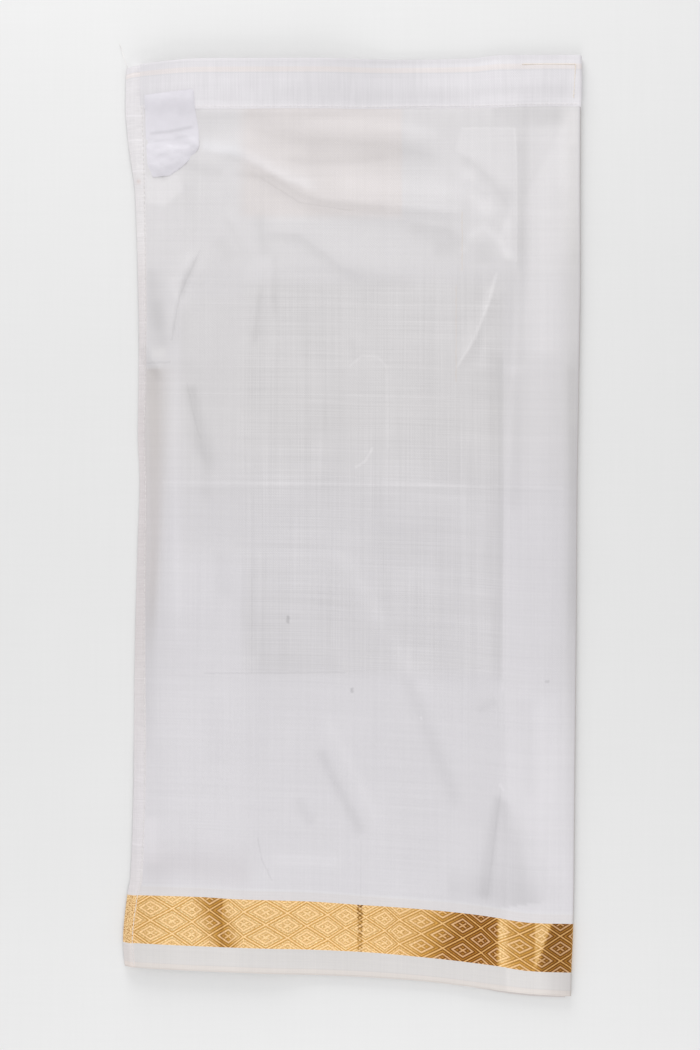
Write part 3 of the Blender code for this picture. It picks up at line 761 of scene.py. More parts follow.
def gold_colours(graph, x, y, v, glint, ahead):
    """Colour, height and the share of plain threads of the gold brocade.

    The metallic floats are painted from bright gold to brown by the painted glint, which stands for
    the cloth's slant; the plain threads of the lattice lines, rings and crosses stay pale, between
    darker floats, whose edges get a painted shadow.
    """
    far, near = lattice(graph, graph.plus(x, ahead), v)
    lines = bands(graph, far, ((0.455, 1.0), (0.60, -1.0), (0.94, 1.0)))
    cross = graph.times(graph.remap(near, 0.03, 0.08, 0.9, 0.0), graph.remap(far, 0.46, 0.50, 1.0, 0.0))
    plain = graph.larger(lines, cross)
    beside = bands(graph, far, ((0.82, 1.0), (0.94, -1.0)))
    round_ring = bands(graph, far, ((0.355, 1.0), (0.455, -1.0), (0.60, 1.0), (0.71, -1.0)))
    inner = zone_mask(graph, near, 0.08, 0.19, LATTICE_SOFT)
    inner = graph.times(inner, graph.remap(far, 0.36, 0.40, 1.0, 0.0))
    faint = graph.remap(glint, 0.1, 0.9, 1.0, 0.62)
    rims = graph.larger(beside, graph.times(graph.larger(round_ring, inner), faint))

    # Specks and dashes: the metal threads' grain with painted sparkle
    speck = graph.patches(x, y, 1.0, 1.9, detail=2.0, roughness=0.7)
    dash = graph.patches(x, y, 0.55, 2.4, 8.0)
    weft, warp = graph.wave(y, GOLD_PITCH), graph.wave(x, GOLD_PITCH)
    grain_and_sparkle = graph.remap(graph.times_plus(dash, 0.5, graph.times(speck, 0.5)), 0.36, 0.60)
    dull = graph.mix(graph.remap(glint, 0.0, 0.5), GOLD_DARK, GOLD_HALF)
    floats = graph.mix(graph.remap(glint, 0.5, 1.0), dull, graph.mix(grain_and_sparkle, *GOLD_BRIGHT))
    thread = graph.mix(glint, graph.mix(graph.remap(far, 0.7, 0.8), RING_DARK, THREAD_DARK), THREAD_BRIGHT)
    # Painted shadow along the floats' edges, broken by the specks
    rim_shadow = graph.times(rims, graph.remap(speck, 0.35, 0.6, 0.7, 1.0))
    colour = graph.mix(rim_shadow, graph.mix(plain, floats, thread), graph.mix(glint, *OUTLINE))
    shade = graph.times(graph.remap(speck, 0.30, 0.70, 0.80, 1.28), graph.remap(dash, 0.3, 0.7, 0.92, 1.10))
    colour = graph.scaled(colour, graph.times(shade, graph.times_plus(weft, 0.04, 1.0)))
    threads = graph.times_plus(weft, 0.2, graph.times(warp, 0.1))
    height = graph.minus(threads, graph.times_plus(plain, 0.5, rims))
    return colour, height, plain


def pucker_lines(graph, x, y, v):
    """Where the drawn threads of the pucker zigzag down the border, most strongly at its top."""
    loose = graph.patches(x, y, 0.2, 0.7, 3.0)
    swing = graph.math("PINGPONG", graph.times_plus(loose, 3.0, y), 1.35)
    total = 0.0
    for middle, reach in PUCKERS:
        away = graph.math("ABSOLUTE", graph.minus(graph.times_plus(swing, -reach, x), middle))
        total = graph.larger(graph.remap(away, 0.25, 0.85, 1.0, 0.0), total)
    held = graph.times(graph.remap(v, 0.0, 22.0, 1.0, 0.55), graph.remap(loose, 0.35, 0.55, 0.5, 1.0))
    return graph.times(total, held)


def gold_zari(name):
    """The brocade of the border, with what gold_tone says at each point."""
    graph = Graph(name)
    x, y, _ = graph.split(graph.attribute("cloth", "Vector"))
    v = graph.minus(BORDER_TOP, y)
    glint, light, ahead = graph.split(graph.attribute("tone", "Color"))
    ahead = graph.times_plus(ahead, 1.0 / AHEAD_SHARE, -AHEAD_ZERO / AHEAD_SHARE)
    # The pucker's drawn threads are painted dull and shaded: less glint and less light
    drawn = pucker_lines(graph, x, y, v)
    glint = graph.times(glint, graph.times_plus(drawn, -0.95, 1.0))
    colour, height, plain = gold_colours(graph, x, y, v, glint, ahead)
    light = graph.times(light, graph.times_plus(drawn, -0.35, 1.0))
    graph.feed(graph.shader.inputs["Metallic"], graph.remap(plain, 0.0, 1.0, 0.4, 0.1))
    roughness = graph.remap(plain, 0.0, 1.0, 0.45, 0.6)
    return graph.finish(graph.scaled(colour, light), roughness, height, 0.00018, 0.7, Specular_IOR_Level=0.15)


def hem_weave(name, colour, zones):
    """The hem's cotton, with the border's wrong side where it crosses the gold."""
    graph = Graph(name)
    x, y, _ = graph.split(graph.attribute("cloth", "Vector"))
    streaks = uneven_yarn(graph, x, y, HEM_YARN, 3.0)
    shade, height = shade_and_height(graph, streaks, plain_weave(graph, x, y))
    base = graph.toned(colour)
    bars = graph.remap(graph.patches(x, y, 0.02, 0.32, 5.0), 0.66, 0.72)
    base = graph.mix(bars, base, graph.vector("MULTIPLY", base, (1.055, 1.055, 1.06)))
    base = in_zones(graph, y, base, zones)
    speck = graph.patches(x, y, 1.0, 1.4, detail=2.0, roughness=0.7)
    in_border = zone_mask(graph, y, BORDER_TOP - BORDER_HEIGHT, BORDER_TOP, 0.1)
    base = graph.mix(in_border, base, graph.mix(graph.remap(speck, 0.37, 0.54), *GOLD_WRONG_SIDE))
    graph.feed(graph.shader.inputs["Metallic"], graph.times(in_border, 0.35))
    return graph.finish(graph.scaled(base, shade), 0.75, height, 0.00014, 0.6, Sheen_Weight=0.1,
                        Specular_IOR_Level=0.25)


def satin(name, colour):
    """Ribbed satin, a little cloudy."""
    graph = Graph(name)
    x, y, _ = graph.split(graph.attribute("cloth", "Vector"))
    ribs = graph.wave(y, SATIN_RIB)
    cloudy = graph.patches(x, y, 0.12, 0.12, detail=3.0)
    shade = graph.times_plus(ribs, 0.012, graph.remap(cloudy, 0.2, 0.8, 0.96, 1.03))
    return graph.finish(graph.scaled(graph.toned(colour), shade), 0.5, ribs, 0.00006, 0.5, Sheen_Weight=0.2)


def plain_thread(name, colour):
    """Sewing thread or yarn, its plies lighter and darker."""
    graph = Graph(name)
    place = graph.node("ShaderNodeTexCoord").outputs["Object"]
    ply = graph.noise(graph.scaled(place, 2.5 / MM), detail=2.0)
    shaded = graph.scaled(colour, graph.remap(ply, 0.3, 0.7, 0.85, 1.1))
    return graph.finish(shaded, 0.7, ply, 0.0001, 0.5)


def table_cover(name, colour):
    """The pale table, with faint streaks."""
    graph = Graph(name)
    place = graph.node("ShaderNodeTexCoord").outputs["Object"]
    x, y, _ = graph.split(graph.scaled(place, 1.0 / MM))
    streaks = uneven_yarn(graph, x, y, TABLE_YARN)
    return graph.finish(graph.scaled(colour, streaks), 0.9, streaks, 0.0006, 0.5, Specular_IOR_Level=0.1)


# ---------------------------------------------------------------- tones

# Painted shade and light on the thin cloth: darker lee sides, hollows and falling edges of its
# wrinkles and folds, lighter crests and lit sides, and with them what shows through from the layers
# below it and where it is doubled.
# A shade runs along a path, so wide on its left and right, and fades in over its ends; a pair of
# sizes is for the path's start and end.  A panel fills a box and a patch an outline, with soft edges.
# Each adds so many levels of 255 to red, green and blue where the cloth reads 215.
SHADES = table("name path left right fade levels", (
    ("upper valley, rim", ((-66.1, 247.8), (-48.1, 241.6), (-32.6, 239.1), (-4.7, 237.9), (29.4, 234.2),
     (57.9, 227.4)), 1.9, 5.6, 12.4, -4),
    ("upper valley, bed", ((-38.8, 232.3), (-1.6, 231.7), (44.9, 229.8)), 5, 5.6, 14.9, -4),
    ("upper valley, lower rim", ((-43.8, 228), (-29.5, 224.9), (-4.7, 225.5), (24.4, 228)), 3.7, 1.6, 9.3,
     -5),
    ("under the seam", ((-69.8, 257.1), (-50, 254), (-34.5, 253.4), (-4.7, 256.5)), 3.1, 3.7, 5, -1),
    ("under the casing, left", ((-95, 258.0), (0, 258.0)), 1.6, 1.6, (2, 14), 6.5),
    ("under the casing, right", ((-14, 258.0), (73, 258.5), (110, 259.5), (137, 260.0)), 1.6, 1.6, (14, 2),
     1.5),
    ("under the seam, light", ((-104.5, 257.7), (-62.4, 258.4)), 2.5, 2.5, 5, 4),
    ("above the upper valley", ((-32.6, 249.7), (-1.6, 250.9), (29.4, 248.4), (57.9, 241)), 3.7, 3.7, 9.9, 4),
    ("long wrinkle, crest", ((-90.9, 232.9), (-66.7, 229.8), (-50, 218.7), (-32.6, 207.5), (-19, 203.2),
     (4.6, 200.7), (29.4, 198.8), (54.2, 195.7), (71.5, 196.4)), 5.6, 1.2, 7.4, 4),
    ("long wrinkle, upper side", ((-14, 212.5), (17, 210.6), (48, 208.8), (72.8, 206.3), (90.1, 192.6)), 8.1,
     6.8, 12.4, 5),
    ("long wrinkle, lee", ((-68, 223), (-50, 211.9), (-32.6, 200.7), (-19, 195.7), (4.6, 191.4),
     (29.4, 189.5), (54.2, 185.2), (67.8, 180.2)), 1, 5, 7.4, -4),
    ("long wrinkle, back", ((-95.9, 236), (-74.8, 232.3), (-56.2, 224.3), (-38.8, 215), (-17.1, 207.5)), 5,
     2.5, (5, 14.9), (7, 8, 9)),
    ("long wrinkle, hollow", ((32.5, 185.2), (51.7, 182.1), (65.3, 186.4)), 5, 6.8, 7.4, -5),
    ("middle wrinkle, lee", ((-56.2, 182.7), (-32.6, 179.6), (-17.1, 168.5), (-7.8, 160.4), (9.5, 153)), 1.2,
     5, 8.7, -4),
    ("shoulder, valley", ((63.5, 229.2), (75.9, 224.3), (87, 214.3), (100.7, 199.5)), 3.7, 5, 7.4, -6),
    ("shoulder, below the valley", ((66.6, 222.4), (72.8, 211.2), (81.5, 198.8), (86.4, 188.9)), 5.6, 5, 7.4,
     5),
    ("shoulder, dome", ((80.8, 177.8), (81.5, 161.6)), 5, 5, 3.1, -5),
    ("shoulder, claw", ((67.8, 167.8), (71.5, 179), (81.5, 185.2), (90.1, 177.8), (96.3, 164.1)), 3.1, 2.5,
     3.7, 6),
    ("shoulder, point", ((95.1, 193.3), (97, 177.8), (98.2, 164.1)), 2.5, 3.7, 5, 6),
    ("single layer, left band", ((-123.8, 99.6), (-123.1, 60), (-123.1, 4.2), (-124.4, -45.4),
     (-126.2, -95)), (8.1, 2.5), 8.7, (2.5, 74.4), (-12, -14.5, -17)),
    ("single layer, low end", ((-124.4, -20.6), (-126.2, -90.1), (-127.5, -157)), (5.6, 3.7), 6.2,
     (37.2, 37.2), -6),
    ("left blotch", ((-124.4, 164.1), (-122.5, 140.6), (-120, 117)), 4.3, 5, 8.7, -7),
    ("left blotch, light", ((-125.6, 107.1), (-114.5, 107.7)), 3.7, 3.1, 2.5, (5, 5, 4)),
    ("below the seam, right", ((83.9, 258.4), (103.8, 255.9), (132.3, 254.6)), 6.2, 5.6, 6.2, -7),
    ("sickle crease", ((88.9, 156.1), (78.4, 123.2), (64.7, 99)), 1.9, 1.9, 5, 3),
    ("below the label, shadow", ((-113.2, 233.6), (-100.8, 224.3), (-91.5, 221.2), (-78.5, 218.7)), 4.3, 4.3,
     5, -6),
    ("beside the label", ((-103.3, 215), (-102.1, 205), (-100.8, 188.9)), 3.1, 3.1, 5, -2),
    ("long wrinkle, first lee", ((-77.3, 219.9), (-56.2, 216.8), (-38.8, 212.5), (-27.7, 208.1)), 2.5, 2.5,
     7.4, -5),
    ("long wrinkle, far crest", ((17, 197), (41.8, 196.4), (67.8, 195.7)), 2.2, 2.2, 6.2, 4),
    ("middle wrinkle, start", ((-59.9, 196.4), (-55.6, 180.9), (-53.7, 164.1)), 5, 4.3, 7.4, -5),
    ("hollow, right", ((46.7, 171.6), (61.6, 174), (76.5, 177.8)), 5.6, 5.6, 7.4, -6),
    ("hip, shade", ((-85.9, 180.2), (-72.3, 162.9)), 5, 5, 6.2, -4),
    ("hip, light", ((-113.2, 155.4), (-108.3, 143), (-103.3, 135.6)), 3.7, 3.7, 5, 5),
    ("knee, dark", ((-121.9, 143), (-119.4, 122), (-118.2, 108.3)), 5, 5.6, 6.2, -6),
    ("beside the sickle", ((87.7, 151.7), (83.9, 122), (76.5, 94.7)), 5, 5, 8.7, 4),
    ("arch, left", ((-1.6, 119.5), (2.1, 100.9)), 3.7, 3.7, 5, -4),
    ("flap line, middle", ((98.8, 98.4), (100.7, 53.8), (98.2, 7.3)), 7.4, 4.3, 8.7, -5),
    ("calf, light", ((-21.5, 58.7), (-20.2, 30.2)), 6.2, 6.2, 8.7, 4),
    ("calf, shade", ((-103.3, 66.2), (-91.5, 35.2), (-90.3, 11.6)), 3.7, 3.7, 8.7, -4),
    ("shin, shade", ((-81, -11.3), (-78.5, -48.5)), 5.6, 5.6, 9.9, -4),
    ("belly, right", ((34.3, -18.2), (41.8, -33), (56.7, -55.4)), 12.4, 12.4, 12.4, 3),
    ("foot, shade", ((-87.2, -101.2), (-81, -153.9)), 11.2, 12.4, 12.4, -2.5),
    ("heel, light", ((-126.9, -176.9), (-124.4, -212.8)), 7.4, 6.2, 7.4, (6, 5.5, 5.5)),
    ("foot, light", ((-53.7, -205.4), (-4.7, -207.9)), 6.2, 6.2, 8.7, 4),
    ("fold, edge, upper", ((137.3, 239.8), (137.3, 160.4)), 3.1, 3.1, 7.4, -4),
    ("fold, edge, lower", ((137.3, 66.2), (137.3, -234.5)), 3.1, 3.1, 8.7, -3.5),
    ("flap, upper light", ((128.6, 254.6), (129.2, 207.5)), 5, 5, 7.4, 4),
    ("flap, lower shade", ((106.3, -102.5), (110, -172.5)), 6.2, 5, 8.7, -3),
    ("inner edge, bright", ((-109.5, 140.6), (-110.7, 103.4), (-110.7, 60), (-109.5, 4.2), (-108.3, -82.6)),
     4.3, 3.1, (8.7, 37.2), 3.5),
    ("thigh crease", ((-94.6, 170.9), (-104.5, 151.7), (-109.5, 134.4), (-111.4, 117)), 1.9, 1, 6.2, -8),
    ("thigh crease, bright", ((-91.5, 167.8), (-100.8, 149.2), (-106.4, 131.3)), 4.3, 2.5, 6.2, 4),
    ("lower thigh crease", ((-100.8, 89.7), (-97.7, 71.1), (-93.4, 50.7), (-87.2, 29)), (3.1, 7.4),
     (3.7, 2.5), (5, 14.9), -10),
    ("short crease", ((-47.5, 170.3), (-49.4, 146.8), (-46.9, 128.2)), 1.9, 1.9, 6.2, -5),
    ("lower short crease", ((-56.2, 151.7), (-58.7, 133.1), (-61.8, 109.6)), 1.9, 1.9, 6.2, -6),
    ("flap line, upper", ((102.5, 246), (102.5, 215), (102.5, 156.1)), 6.2, 1.2, (12.4, 6.2), -4.5),
    ("flap, bright", ((119.3, 252.2), (121.1, 177.8), (119.9, 102.1)), 9.9, 12.4, 8.7, 5),
    ("flap line, lower", ((92.6, 109.6), (92.6, 47.6), (92.6, -20.6), (92, -101.2)), 1, 5.6, (8.7, 12.4), -7),
    ("flap line, notch", ((90.1, -107.4), (83.9, -110.5), (76.5, -114.9)), 3.1, 3.1, 2.5, -4),
    ("low fold, left fork", ((-33.9, -166.3), (-30.1, -176.9), (-23.9, -185.6)), 3.7, 3.7, 3.7, -5),
    ("low fold, valley", ((-21.5, -134.7), (-14, -152.1), (-4.1, -170.7), (7.1, -193)), 3.7, 3.7, 7.4, -8),
    ("low fold, right valley", ((31.9, -87.6), (41.8, -113.6), (54.2, -145.9), (66.6, -176.9)), 5, 5, 11.2,
     -5),
    ("low fold, crest", ((-17.1, -116.7), (-1.6, -147.7), (17, -185.6)), 4.3, 3.7, 9.9, 3),
    ("inner lower edge, shade", ((-62.4, -84.5), (-38.8, -83.9), (-4.7, -85.1)), 5.6, 5.6, 6.2, -5),
    ("belly, crest", ((-19, -8.2), (-0.4, -25.6), (13.9, -51.6), (30.6, -79.5), (46.7, -107.4)), 5, 5, 12.4,
     3),
    ("heel, dark", ((-139.3, -212.8), (-103.9, -207.9), (-56.2, -215.3)), 12.4, 12.4, 16.1, (-7, -8, -8)),
    ("corner, left line", ((91.4, -164.5), (87.7, -191.1), (85.2, -214.1), (82.7, -232.7)), (1.9, 3.1),
     (3.1, 6.8), 5, -10),
    ("corner, hollow", ((93.2, -167), (98.8, -200.4), (103.8, -234.5)), (2.5, 14.9), (2.5, 13.6), (6.2, 0.1),
     -11),
    ("corner, foot", ((54.2, -224), (91.4, -227.7), (121.1, -232.7)), 12.4, 6.2, 8.7, -6),
    ("fold, falling away", ((137.3, 221.2), (137.3, 16.6), (137.3, -231.4)), 5.6, 5.6, (68.2, 161.2),
     (-7, -7, -8)),
    ("fold, upper", ((137.3, 289.4), (137.3, 140.6)), 3.1, 8.1, (5, 68.2), (8, 8, 7)),
    ("fold, darkest", ((137.9, 122), (137.9, 35.2), (137.9, -76.4)), 5, 5, 37.2, -9),
    ("lower edge, lit", ((85, -287), (97, -288.5), (121, -291), (140, -291)), 0.9, 0.9, 5, 13),
    ("low side, bright", ((116.2, -101.2), (121.1, -169.4), (126.1, -225.2)), 8.7, 7.4, 12.4, 4),
))
PANELS = table("name x0 x1 y0 y1 soft_x soft_y levels", (
    ("upper layers", -138, 153.4, 160.4, 326.6, 12.4, 9.9, (2.6, 2.6, 2.2)),
    ("upper half, warmer", -138, 153.4, 35.2, 326.6, 12.4, 37.2, (-0.4, -0.4, -2)),
    ("open middle", -68, 92.6, -90.1, 151.1, 4.3, 6.2, (-2.4, -2.4, -3.2)),
    ("open middle, left", -105.8, -68, -20.6, 140.6, 3.1, 8.7, (-1.5, -1.5, -2.1)),
    ("doubled foot", -131.8, 153.4, -355.4, -97.5, 12.4, 5, 1.5),
    ("doubled foot, left", -138, -56.2, -355.4, -101.2, 12.4, 8.7, 0.6),
    ("doubled foot, right", 95.1, 153.4, -355.4, -107.4, 1.2, 24.8, 3),
    ("strip, falling away", 124, 160, -355.4, -270, (10, 1), 1, (-15, -16, -16)),
    ("flap, plain", 95.1, 132.3, -355.4, 99.6, 1.9, 1.2, 2.4),
    ("left, plain", -114.5, -68, -355.4, -11.3, 5, 15.5, 2.5),
    ("warm underlayer", -68.6, 30.6, 192, 264.6, (5.6, 0.7), (3.7, 1.2), (1.4, -1.5, -3.4)),
))


PATCHES = table("name outline soft levels", (
    ("below the label, bright", ((-128.7, 217.4), (-116.9, 214.3), (-108.3, 219.9), (-105.2, 208.8),
     (-115.7, 198.8), (-128.1, 200.7)), 1.9, 7),
    ("corner layer", ((67.8, 246.6), (100.7, 246.6), (101.3, 164.1), (96.3, 164.1), (90.1, 177.8),
     (97.6, 198.8), (85.2, 216.2), (72.8, 227.4), (63.5, 233.6)), 1.6, 4.5),
    ("flap, doubled", ((136, 259.6), (137.9, 99.6), (106.3, 99.6), (106.3, 202.6), (119.3, 227.4)), 2.5, 4),
))


def both(size):
    """A size at the start and at the end of a path; one number stands for both."""
    return size if isinstance(size, tuple) else (size, size)


def inside(outline, x, y):
    """How far places are inside a closed outline, negative outside."""
    crossings = np.zeros(np.shape(x), dtype=bool)
    closed = (*outline, outline[0])
    nearest = np.abs(along(closed, x, y)[0])
    for (ax, ay), (bx, by) in zip(closed, closed[1:]):
        if ay != by:
            crossings ^= ((ay > y) != (by > y)) & (x < ax + (y - ay) / (by - ay) * (bx - ax))
    return np.where(crossings, nearest, -nearest)


def add_levels(x, y):
    """Red, green and blue levels of the shades, panels and patches: painted shade and light, and
    show-through.
    """
    total = np.zeros((*x.shape, 3))
    for shade in SHADES:
        side, run, length = along(shade.path, x, y)
        left, right = (np.interp(run, (0.0, length), both(size)) for size in (shade.left, shade.right))
        width = np.where(side > 0.0, left, right)
        fade_in, fade_out = both(shade.fade)
        ends = ease(0.0, fade_in, run) * ease(0.0, fade_out, length - run)
        total += (np.exp(-(side / width) ** 2) * ends)[..., None] * channels(shade.levels)
    for patch in PATCHES:
        part = ease(-patch.soft, patch.soft, inside(patch.outline, x, y))
        total += part[..., None] * channels(patch.levels)
    for panel in PANELS:
        (left, right), (low, high) = both(panel.soft_x), both(panel.soft_y)
        across = ease(-left, left, x - panel.x0) * ease(-right, right, panel.x1 - x)
        down = ease(-low, low, y - panel.y0) * ease(-high, high, panel.y1 - y)
        total += (across * down)[..., None] * channels(panel.levels)
    return total


def as_share(levels):
    """The share of light kept where a place that read 215 reads so many levels more."""
    return np.clip(1.0 + levels / PAPER_LEVEL, 0.05, None) ** GAMMA


# Painted shade on the fold's turn, where the cloth falls away towards the table
TURN_LEVELS = (-24.0, -28.0, -34.0)     # on the fold's turn


def cloth_tone(x, y, across):
    """The tone of the top layer, painted shade and light with it; the turn is painted darker where it falls
    away, and the underside is plain.
    """
    seen = 1.0 - ease(FOLD_START, 4.4, across)
    on_turn = ease(4.2, 4.34, across) * (1.0 - ease(4.6, 4.9, across))
    return as_share(add_levels(x, y) * seen[..., None] + on_turn[..., None] * TURN_LEVELS)


# The gold's painted glint along the border, bright where its floats face the light and brown where
# they turn from it: x, share of the bright colour
GLINTS = (
    (-150, 0.86), (-128, 0.86), (-116, 0.98), (-60, 0.96), (-10, 0.93), (20, 0.87), (42, 0.72), (56, 0.40),
    (66, 0.08), (84, 0.03), (89.4, 0.10), (91.2, 1.0), (93.8, 0.95), (97.0, 0.62), (104, 0.46), (111, 0.38),
    (117, 0.16), (125, 0.06), (135.5, 0.10), (139, 0.55), (150, 0.6),
)
GOLD_UNDER = 0.6           # and on the underside
GOLD_CREASE = -80.8        # x of the crease that the left part's shade fans out from
FACET_TILT = 0.36          # how far the corner's lit facet leans, and the y where it meets its x
FACET_Y = -247.0


def gold_tone(x, y, across):
    """The gold's painted glint in red, its share of light, a painted shade, in green, how far the pattern
    runs ahead in blue.
    """
    deep = np.clip((read(LINES, "border", x) - y) / BORDER_HEIGHT, 0.0, 1.0)
    slanted = x + 13.0 * (deep - 0.3) * ease(20.0, 40.0, x) * (1.0 - ease(80.0, 89.0, x))
    glint = np.interp(slanted, *zip(*GLINTS))
    ahead = AHEAD_ZERO + AHEAD_SHARE * np.interp(x, *zip(*CROWDS))
    # A painted dark wedge, the painted shade that fans out from the crease, and a dark line in it
    start = -98.0 + 10.5 * deep
    wedge = ease(start - 6.0, start + 11.0, x) * (x < GOLD_CREASE)
    fan = (1.0 - ease(0.0, 4.0 + 12.0 * deep, x - GOLD_CREASE)) * (x >= GOLD_CREASE)
    crease_shade = np.exp(-((x - GOLD_CREASE + 0.4) / 0.5) ** 2)
    glint = glint * (1.0 - 0.64 * wedge) * (1.0 - (0.25 + 0.45 * deep) * fan) * (1.0 - 0.35 * crease_shade)
    # The corner's facet is painted lit
    leaning = x - FACET_TILT * (y - FACET_Y)
    on_facet = ease(112.2, 112.9, x) * (1.0 - ease(122.4, 123.6, leaning)) * ease(-276.0, -275.0, y)
    glint = glint + (0.84 - glint) * on_facet
    seen = 1.0 - ease(FOLD_START, 4.6, across)
    glint = glint * seen + GOLD_UNDER * (1.0 - seen)
    # Painted shade on the floats beyond the facet
    light = 1.0 - 0.16 * ease(-1.0, 2.0, leaning - 123.2) * ease(115.0, 118.0, x) * seen
    return np.stack([glint, light, ahead], axis=-1)


# The hem, down the packet: levels of red, green and blue
HEM_TONES = table("y red green blue", (
    (300, 15, 14, 15), (190, 16, 15, 14), (150, 11, 8, 7), (100, 6, 3, 2),
    (60, 3, -1, -2), (-60, 3, -1, -2), (-100, 7, 4, 3), (-180, 12, 10, 11),
    (-228, 12, 9, 8), (-262, 9, 5, 1), (-300, 7, 2, -3),
))
# Painted shade and light across the rounded casing, darker at its top rim and lighter near the seam
CASING_LEVELS = table("below level", (  # below the packet's top edge, all colours alike
    (0.0, -10), (1.5, -8), (4.0, -1.5), (6.5, -3.5), (10.0, -3), (13.5, 0),
    (20.0, 0), (25.0, 4.5), (28.0, 10), (33.0, 9.5),
))
CASING_RUN = (           # and along the casing
    (-120, 0.0), (-102, 4.5), (-72, 4.0), (-50, 1.0), (-13, -1.0), (4, -3.5), (20, -5.0), (34, -5.0),
    (50, -0.5), (76, 2.5), (92, 3.5), (108, 1.0), (122, 1.0), (137, 9.0),
)
CASING_FOOT = (          # and along its lower part alone
    (-118, 0.0), (-104, 4.0), (-40, 2.5), (10, 0.0), (50, -3.0), (100, -4.0), (128, -2.0),
)
STAIN = (-132.8, 214.0, 1.3, (-8.0, -17.0, -21.0))     # on the hem: place, half width and levels


def hem_tone(x, y):
    """The tone of the side hem, which varies down the packet, and its small stain."""
    stain = np.exp(-((x - STAIN[0]) ** 2 + (y - STAIN[1]) ** 2) / STAIN[2] ** 2)
    levels = np.stack([read(HEM_TONES, channel, y) for channel in ("red", "green", "blue")], axis=-1)
    return as_share(levels + stain[..., None] * STAIN[3])


def casing_tone(x, y):
    """The tone of the casing, its painted shade and light with it, which varies across it and along it."""
    below = read(LINES, "top", x) - y
    levels = np.interp(x, *zip(*CASING_RUN)) + np.interp(x, *zip(*CASING_FOOT)) * ease(16.0, 21.0, below)
    levels = levels + read(CASING_LEVELS, "level", below)
    return as_share(np.repeat(levels[..., None], 3, axis=2))


# ---------------------------------------------------------------- the pieces of cloth

# Places on the packet, as guide_x and guide_y count them, with 5 the end of the fold and 6 the
# left end of the underside; a thin shell's inner face has a point for every few of the outer one
COLUMNS = steps((0, 1, 6), (1, 2, 20), (2, 3, 154), (3, 4, 36), (4, 5, 16), (5, 6, 24))
FIELD_ROWS = steps((0, 1, 18), (1, 2, 310))
BORDER_ROWS = steps((2, 3, 28))
STRIP_ROWS = steps((3, 4, 16))
EVERY = 4

# Sections of the turned edges: place on the packet, how far out of the cloth, how far past the edge
CASING_PROFILE = (
    (0.0, -0.45, 0.10), (0.0, -0.10, 0.50), (0.0, 0.35, 0.55), (0.02, 0.62, 0.30), (0.05, 0.72),
    (0.09, 0.78), (0.13, 0.78), (0.17, 0.74), (0.21, 0.76), (0.26, 0.82), (0.34, 0.88), (0.44, 0.92),
    (0.55, 0.92), (0.66, 0.88), (0.76, 0.80), (0.84, 0.68), (0.90, 0.54), (0.94, 0.40), (0.965, 0.30),
    (0.985, 0.24), (1.0, 0.16), (1.0012, -0.04),
)
HEM_PROFILE = (
    (0.0, -0.30, 0.10), (0.0, 0.05, 0.42), (0.0, 0.40, 0.40), (0.0, 0.62, 0.05), (0.08, 0.72),
    (0.22, 0.70), (0.38, 0.66), (0.55, 0.60), (0.70, 0.52), (0.80, 0.42), (0.88, 0.32), (0.96, 0.24),
    (1.0, 0.16), (1.03, -0.04),
)
CASING_MIDDLE = 270.0      # y of the casing, and how deep it is
CASING_DEPTH = 28.0
CASING_STANDS = 0.95       # how far it stands out of the cloth under the label
HEM_MIDDLE = -135.0        # x of the hem
LABEL_SIZE = (32.0, 53.0)
LABEL_THICK = 0.20
INNER_INSET = (2.6, 0.3)   # how far below the top edge the inner sheet starts, and past the underside ends


def cloth_stretch(name, rows, material, tone_of):
    """A stretch of the outer sheet, from the left edge over the top, round the fold and under."""
    across, down = np.meshgrid(COLUMNS, rows)
    outer = on_cloth(across, down, 0.0)
    thin = on_cloth(across, down, -THREAD)
    flat = across <= FOLD_START
    low = lowest_near(np.where(flat, outer[..., 2], 1e3), EVERY)
    thin[..., 2] = np.where(flat, np.minimum(thin[..., 2], low - 0.7 * THREAD), thin[..., 2])
    return shell(name, outer, thin[::EVERY, ::EVERY], EVERY, material, cloth_place(across, down),
                 tone_of(outer[..., 0], outer[..., 1], across))


def inner_sheet(material):
    """The sheet folded inside the packet: an upper leg, a turn near the right and a lower leg."""
    places = steps((0, 1, 60), (1, 2, 8), (2, 3, 60))
    rows = steps((0.02, 1, 8), (1, 2, 90), (2, 3, 8), (3, 4, 5))
    across, down = np.meshgrid(places, rows)
    share = np.clip(np.minimum(across, 3.0 - across), 0.0, 1.0)
    flat = np.zeros(across.shape)
    x, y = flat, flat
    for _ in range(4):
        edge, low_edge = read(LINES, "top", x), read(LINES, "lower", x)
        top, lower = edge - INNER_INSET[0], low_edge + read(LINES, "short", x) - INNER_INSET[1]
        y = top + (lower - top) * (edge - guide_y(down, x)) / (edge - low_edge)
        right = read(SIDES, "right", y) - FOLD_RADIUS - 2.4
        left = under_left(y) + np.where(across < 2.0, 0.2, 0.9)
        x = left + (right - left) * share
    x = x + 0.5 * ripple(y, across, 17.0, 0.9, 21) * (share < 0.02)
    y = y + 0.5 * ripple(x, across, 19.0, 0.9, 22) * ((down < 0.05) | (down > 3.9))
    room = cloth_top(x, y) - 2.0 * THREAD
    high, lowest = THREAD + 0.66 * room, THREAD + 0.36 * room
    angle = math.pi * np.clip(across - 1.0, 0.0, 1.0)
    middle, radius = 0.5 * (high + lowest), 0.5 * (high - lowest)
    outer, inner = (np.stack([x + 1.6 * (radius + out) * np.sin(angle), y,
                              middle + (radius + out) * np.cos(angle)], axis=-1)
                    for out in (0.0, -0.8 * THREAD))
    cloth = np.stack([x + 400.0 * (across > 1.5), guide_y(down, flat), flat], axis=-1)
    return shell("inner_folded_sheet", outer, inner, 1, material, cloth)


def profile(rows):
    """The columns of a turned edge's section; a row without a third value isn't past the edge."""
    return np.array([(*row, 0.0)[:3] for row in rows]).T


